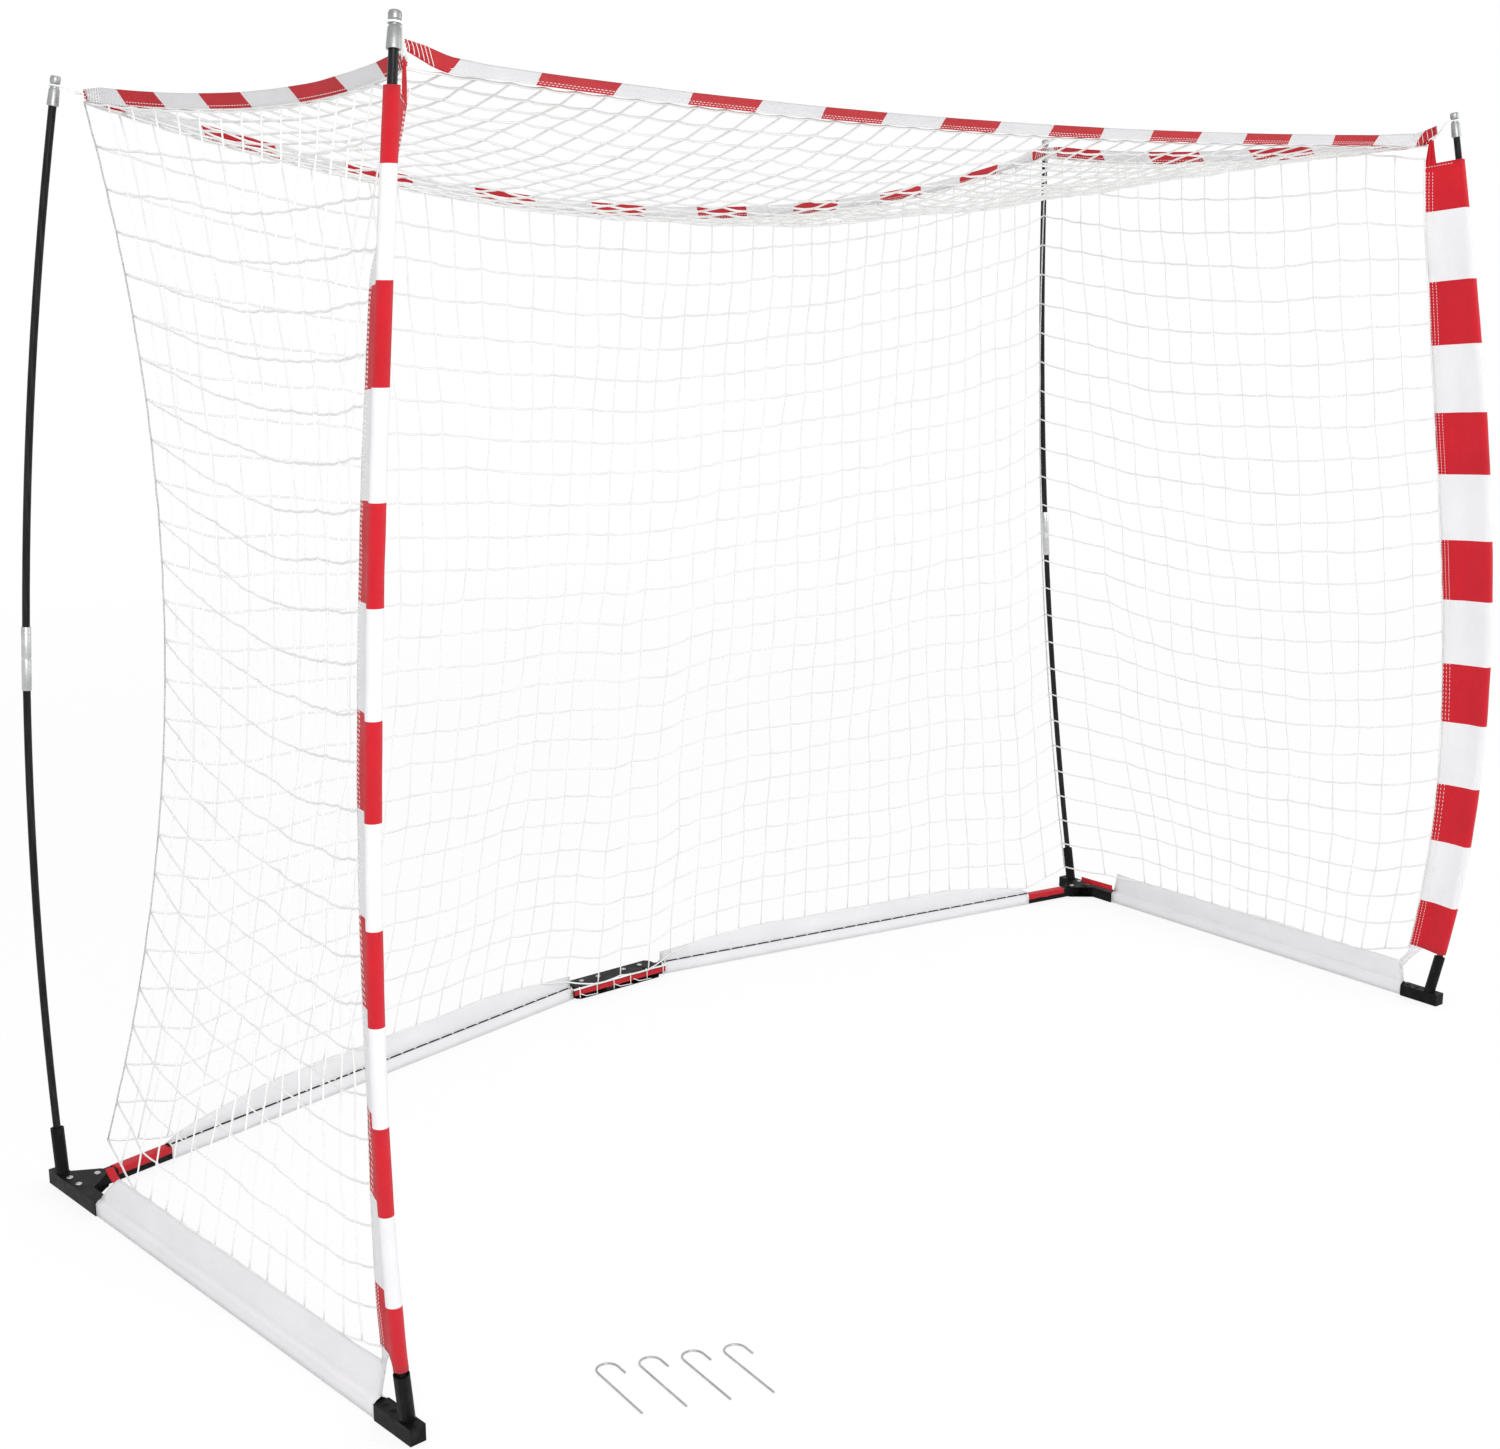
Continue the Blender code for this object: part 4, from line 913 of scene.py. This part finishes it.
def skirt_lacing(name, plan, start, end, body):
    """A dark strand along the fold where a skirt leaves its bar, painted shade of the crease, crossed by a
    row of white stitches.
    """
    fold = [plan.at(BAR_HALF * 0.62, v, BAR_HIGH + 0.0062) for v in spread(start + 0.004, end - 0.004, 30)]
    crease_shade, thread = Tubes(), Tubes()
    # Painted shade: a black strand laid along the crease above the bar, standing in for the shade there.
    crease_shade.strand(fold, 0.0019, 6, UP)
    thread.stitches([p + UP * 0.0005 for p in fold], 0.029, 0.009, 0.0023)
    crease_shade.piece(f"{name}_skirt_crease_shade", BLACK, body, "white_skirt")
    thread.piece(f"{name}_skirt_lacing", TWINE, body, "white_cord")


for side, word in SIDES:
    skirt(f"{word}_side_cloth", arm_plan(side), *SIDE_SKIRT, SKIRT_LEAN, partial(side_skirt_height, side),
          f"{word}_side_arm", [f"{word}_side_skirt"])
    skirt(f"{word}_rear_cloth", bar_plan(side), *REAR_SKIRT, 0.0, rear_skirt_height, f"{word}_rear_half",
          [f"{word}_rear_skirt"])
    skirt_lacing(f"{word}_rear", bar_plan(side), *REAR_SKIRT, f"{word}_rear_half")


def corner_hem(side, word):
    """The red hem over the rear bar's outer end, short of the bracket that it folds past."""
    plan = bar_plan(side)
    inner, top, shoulder = BAR_HALF + 0.0008, BAR_HIGH + 0.0008, BAR_HIGH - 0.004
    rows = []
    for v in spread(BAR_LENGTH - HEM_FROM_END[0], BAR_LENGTH - HEM_FROM_END[1], 12):
        edge = BAR_HIGH - (0.012 + 0.003 * noise.noise(Vector((v * 40, side, 0))))
        section = [(inner + 0.0004, edge), (inner, shoulder), (inner - 0.0004, top - 0.0006),
                   (inner - 0.003, top), (0, top + 0.0004), (-inner + 0.003, top),
                   (-inner + 0.0004, top - 0.0006), (-inner, shoulder), (-inner - 0.0004, edge)]
        rows.append([plan.at(u, v, z) for u, z in section])
    cloth_sheet(f"{word}_hem_cloth", rows, [RED], f"{word}_rear_half",
                [f"{word}_corner_hem"])


for side, word in SIDES:
    corner_hem(side, word)


def middle_strap():
    """The red strap on the front of the hinge's plates."""
    front = HINGE_Y - HINGE_PLATE_FRONT - 0.0010
    rows = []
    for x in spread(-0.147, 0.147, 24):
        wave = 0.0006 * noise.noise(Vector((x * 30, 0, 0)))
        rows.append([Vector((x, front + wave, z)) for z in spread(0.0125, 0.0262, 4)])
    cloth_sheet("middle_strap", rows, [TAPE_RED], "centre_hinge",
                ["middle_hem"])


middle_strap()


def hinge_cord():
    """A cord over the red strap in front of the hinge's plates, with loops down round the strap."""
    front, top = HINGE_Y - HINGE_PLATE_FRONT - 0.0040, HINGE_CORD_HEIGHT
    cord = Tubes()
    line = [Vector((x, front, top - 0.0035 + 0.001 * noise.noise(Vector((x * 25, 1, 0)))))
            for x in spread(-0.152, 0.152, 30)]
    cord.strand(line, 0.0024, 8, UP)
    for x in spread(-0.135, 0.135, 5):
        loop = [Vector((x, front + 0.0012, top)), Vector((x + 0.001, front - 0.0026, top - 0.003)),
                Vector((x + 0.003, front + 0.0004, 0.018)), Vector((x + 0.004, front + 0.0008, 0.0050))]
        cord.strand(loop, 0.0013, 6, UP)
        cord.knot(Vector((x, front - 0.0012, top - 0.002)), 0.0042, x * 20)
    for low, high in ((-0.132, -0.075), (-0.022, 0.035), (0.040, 0.098)):
        cord.strand([Vector((low, front + 0.0008, 0.017)), Vector((low + 0.018, front - 0.0004, 0.0075)),
                     Vector((high, front + 0.0006, 0.0045))], 0.0012, 6, UP)
    cord.piece("hinge_net_cord", TWINE, "centre_hinge", "white_cord")


def rivet_heads(name, places, top, body):
    """Bright round heads over the rivets of a plate, whose own heads reach the height given."""
    rises, radii = (0, 0.0015, 0.0025, 0.0030), [0.0069, 0.0064, 0.0045, 0.0018]
    heads = Tubes()
    for place in places:
        base = Vector((place.x, place.y, top - 0.0026))
        heads.strand([base + UP * rise for rise in rises], radii, 14)
    heads.piece(name, ZINC, body, "bright_cap")


hinge_cord()
rivet_heads("hinge_rivet_heads", [Vector((x, HINGE_Y, 0)) for x in HINGE_RIVETS], RIVET_TOP, "centre_hinge")
for side, word in SIDES:
    places = [arm_plan(side).at(0, ARM_LENGTH - d) for d in REAR_RIVETS] + [corner_pivot(side)]
    rivet_heads(f"{word}_rear_rivet_heads", places, RIVET_TOP - 0.0008, f"{word}_side_arm")


# Cloth tails at the corners

def sleeve_tail(side, word):
    """Red cloth pulled from the sleeve's top corner to the tapes' corner."""
    free, inner = [flap_place(side, sleeve_share(side, SLEEVE_HIGH - 0.002, u), u, 0) for u in (0.99, 0.66)]
    tip = tape_corner(side, False)
    beside = tip + Vector((side * 0.007, -0.006, 0.004))
    rows = []
    for t in spread(0, 1, 12):
        left, right = free.lerp(tip, t), inner.lerp(beside, t)
        row = []
        for k in range(9):
            pleat = 0.0022 * math.sin(k * 1.9) * math.sin(math.pi * (0.15 + 0.85 * t))
            sag = UP * 0.004 * (1 - t) * math.sin(math.pi * k / 8)
            row.append(left.lerp(right, k / 8) + Vector((side * pleat, pleat, 0)) - sag)
        rows.append(row)
    cloth_sheet(f"{word}_sleeve_tail", rows, [RED], f"front_{word}_pole")


def foot_strap(side, word):
    """White cloth gathered from the sleeve's foot to the side skirt's front corner."""
    plan = arm_plan(side)
    foot = [flap_place(side, SLEEVE_LOW + 0.002, u, 0) for u in (0.97, 0.55)]
    hold = [plan.at(SKIRT_LEAN, SIDE_SKIRT[0] + along, SKIRT_HEIGHT - down)
            for along, down in ((0.012, 0.002), (0.002, 0.022))]
    rows = []
    for t in spread(0, 1, 8):
        left, right = foot[0].lerp(hold[0], t), foot[1].lerp(hold[1], t)
        bow = math.sin(math.pi * t)
        row = []
        for k in range(7):
            share = 0.5 + (k / 6 - 0.5) * (1 - 0.35 * bow)
            row.append(left.lerp(right, share) + plan.inward * 0.0018 * math.sin(k * 2.3) * bow)
        rows.append(row)
    cloth_sheet(f"{word}_foot_strap", rows, [WHITE], f"front_{word}_pole")


def hem_strap(side, word):
    """A short red strap end that stands on the side skirt's rear corner."""
    hem = arm_plan(side).at(0.016, SIDE_SKIRT[1] - 0.008, SKIRT_HEIGHT + 0.004)
    corner = arm_plan(side).at(SKIRT_LEAN + 0.0025, SIDE_SKIRT[1] - 0.046, SKIRT_HEIGHT - 0.012)
    way = (corner - hem).normalized()
    across = way.cross(UP).normalized()
    half = 0.0085
    rows = []
    for t in spread(0, 1, 10):
        middle = hem.lerp(corner, t) - UP * 0.004 * math.sin(math.pi * t)
        rows.append([middle + across * half * k + UP * 0.0012 * (1 - k * k) for k in (-1, -0.5, 0, 0.5, 1)])
    cloth_sheet(f"{word}_hem_strap", rows, [RED], f"{word}_side_arm")


for side, word in SIDES:
    sleeve_tail(side, word)
    foot_strap(side, word)
hem_strap(*SIDES[0])


def bracket_hem():
    """The red hem that stands on the right rear bracket, between the pole and the side skirt."""
    plan = arm_plan(1)
    start, height = ARM_LENGTH - 0.055, 0.017
    rows = []
    for t in spread(0, 1, 12):
        along = start + (SIDE_SKIRT[1] - start) * t
        low = RIVET_TOP + 0.0005 + 0.002 * t
        sway = 0.0010 * noise.noise(Vector((t * 4, 2, 0)))
        rows.append([plan.at(0.010 + sway + 0.002 * k, along, low + height * k) for k in (0, 0.33, 0.67, 1)])
    cloth_sheet("right_bracket_hem", rows, [RED], "right_side_arm")


bracket_hem()


# Corner ties

def corner_tie(side, rear, word):
    """A cord round the cap's neck and through the tapes' corner, with a small knot under the cap."""
    cap_way = (pole_point(side, rear, 1) - pole_point(side, rear, CAP_SHARE)).normalized()
    neck = pole_point(side, rear, 1) - cap_way * CAP_NECK_DOWN
    end = tape_corner(side, rear) + Vector((side, 1 if rear else -1, 0)) * 0.0042
    out = end - neck
    flat = (out - out.dot(cap_way) * cap_way).normalized()
    across = cap_way.cross(flat)
    apart = across * 0.0026
    turns = [math.radians(a) for a in range(60, 301, 15)]
    path = [neck + TIE_ROUND * (math.cos(t) * flat + math.sin(t) * across) for t in turns]
    path += [neck + flat * 0.018 - 2 * apart, neck.lerp(end, 0.7) - apart, end - apart,
             end + apart, neck.lerp(end, 0.7) + apart, neck + flat * 0.018 + 2 * apart]
    cord = Tubes()
    cord.strand(path, 0.0017, 8, UP, closed=True)
    cord.knot(neck.lerp(end, 0.86), 0.0045, 0.4)
    cord.piece(f"{word}_corner_cord", TWINE, "centre_hinge", "white_cord", [f"{word}_tie"])


for side, word in SIDES:
    for is_rear, end in ((False, "front"), (True, "rear")):
        corner_tie(side, is_rear, f"{end}_{word}")


# Camera, floor and light

def camera():
    view = bpy.data.cameras.new("photo_view")
    view.sensor_width, view.lens = 36.0, LENS
    seen = bpy.data.objects.new("photo_view", view)
    bpy.context.scene.collection.objects.link(seen)
    turn = (Matrix.Rotation(-YAW, 4, "Z") @ Matrix.Rotation(math.pi / 2 + PITCH, 4, "X")
            @ Matrix.Rotation(ROLL, 4, "Z"))
    seen.matrix_world = Matrix.Translation(STANDPOINT + SHIFT) @ turn
    bpy.context.scene.camera = seen


def floor():
    """A pale floor that shows white to the camera and in metal, and keeps some of the goal's shadow."""
    mesh = bpy.data.meshes.new("floor")
    half = 40.0
    corners = [(-half, -half, 0), (half, -half, 0), (half, half, 0), (-half, half, 0)]
    mesh.from_pydata(corners, [], [(0, 1, 2, 3)])
    paint = Finish("floor_paint")
    paint.set(Base_Color=(0.90, 0.90, 0.90, 1), Roughness=0.9, Specular_IOR_Level=0.0)
    away = paint.node("ShaderNodeVectorMath", {"operation": "LENGTH"}, {0: paint.place()}, "Value")
    seen = paint.node("ShaderNodeLightPath", {}, {}, "Is Camera Ray")
    mirrored = paint.node("ShaderNodeLightPath", {}, {}, "Is Glossy Ray")
    share = (seen + mirrored) * away.ramp(2.5, 9.0, FLOOR_GLOW, 1.0)
    glow = paint.node("ShaderNodeEmission", {}, {"Color": PURE_WHITE, "Strength": 1.0})
    painted = Shade(paint, paint.shader.outputs["BSDF"])
    both = paint.node("ShaderNodeMixShader", {}, {0: share, 1: painted, 2: glow})
    paint.plug(paint.tree.nodes["Material Output"].inputs["Surface"], both)
    mesh.materials.append(paint.made)
    made = bpy.data.objects.new("floor", mesh)
    made.location.z = -0.0005
    bpy.context.scene.collection.objects.link(made)


def light(name, place, aim, size, power):
    lamp = bpy.data.lights.new(name, "AREA")
    lamp.shape, lamp.size, lamp.energy = "DISK", size, power
    made = bpy.data.objects.new(name, lamp)
    made.location = place
    made.rotation_euler = (Vector(aim) - Vector(place)).to_track_quat("-Z", "Y").to_euler()
    bpy.context.scene.collection.objects.link(made)


def world():
    """Even light from all round, which the camera sees as plain white."""
    sky = Finish("studio", bpy.data.worlds)
    back = sky.tree.nodes["Background"]
    sky.plug(back.inputs["Color"], PURE_WHITE)
    sky.plug(back.inputs["Strength"], SKY_LIGHT)
    white = sky.node("ShaderNodeBackground", {}, {"Color": PURE_WHITE, "Strength": 1.0})
    seen = sky.node("ShaderNodeLightPath", {}, {}, "Is Camera Ray")
    both = sky.node("ShaderNodeMixShader", {}, {0: seen, 1: Shade(sky, back.outputs["Background"]), 2: white})
    sky.plug(sky.tree.nodes["World Output"].inputs["Surface"], both)
    bpy.context.scene.world = sky.made


camera()
floor()
world()
light("key", (-3.5, -5.0, 3.4), (0, 0, 1), 3.0, 170)
light("fill", (4.5, -3.0, 2.6), (0, 0, 1), 3.0, 60)
bpy.context.scene.view_settings.view_transform = "Standard"
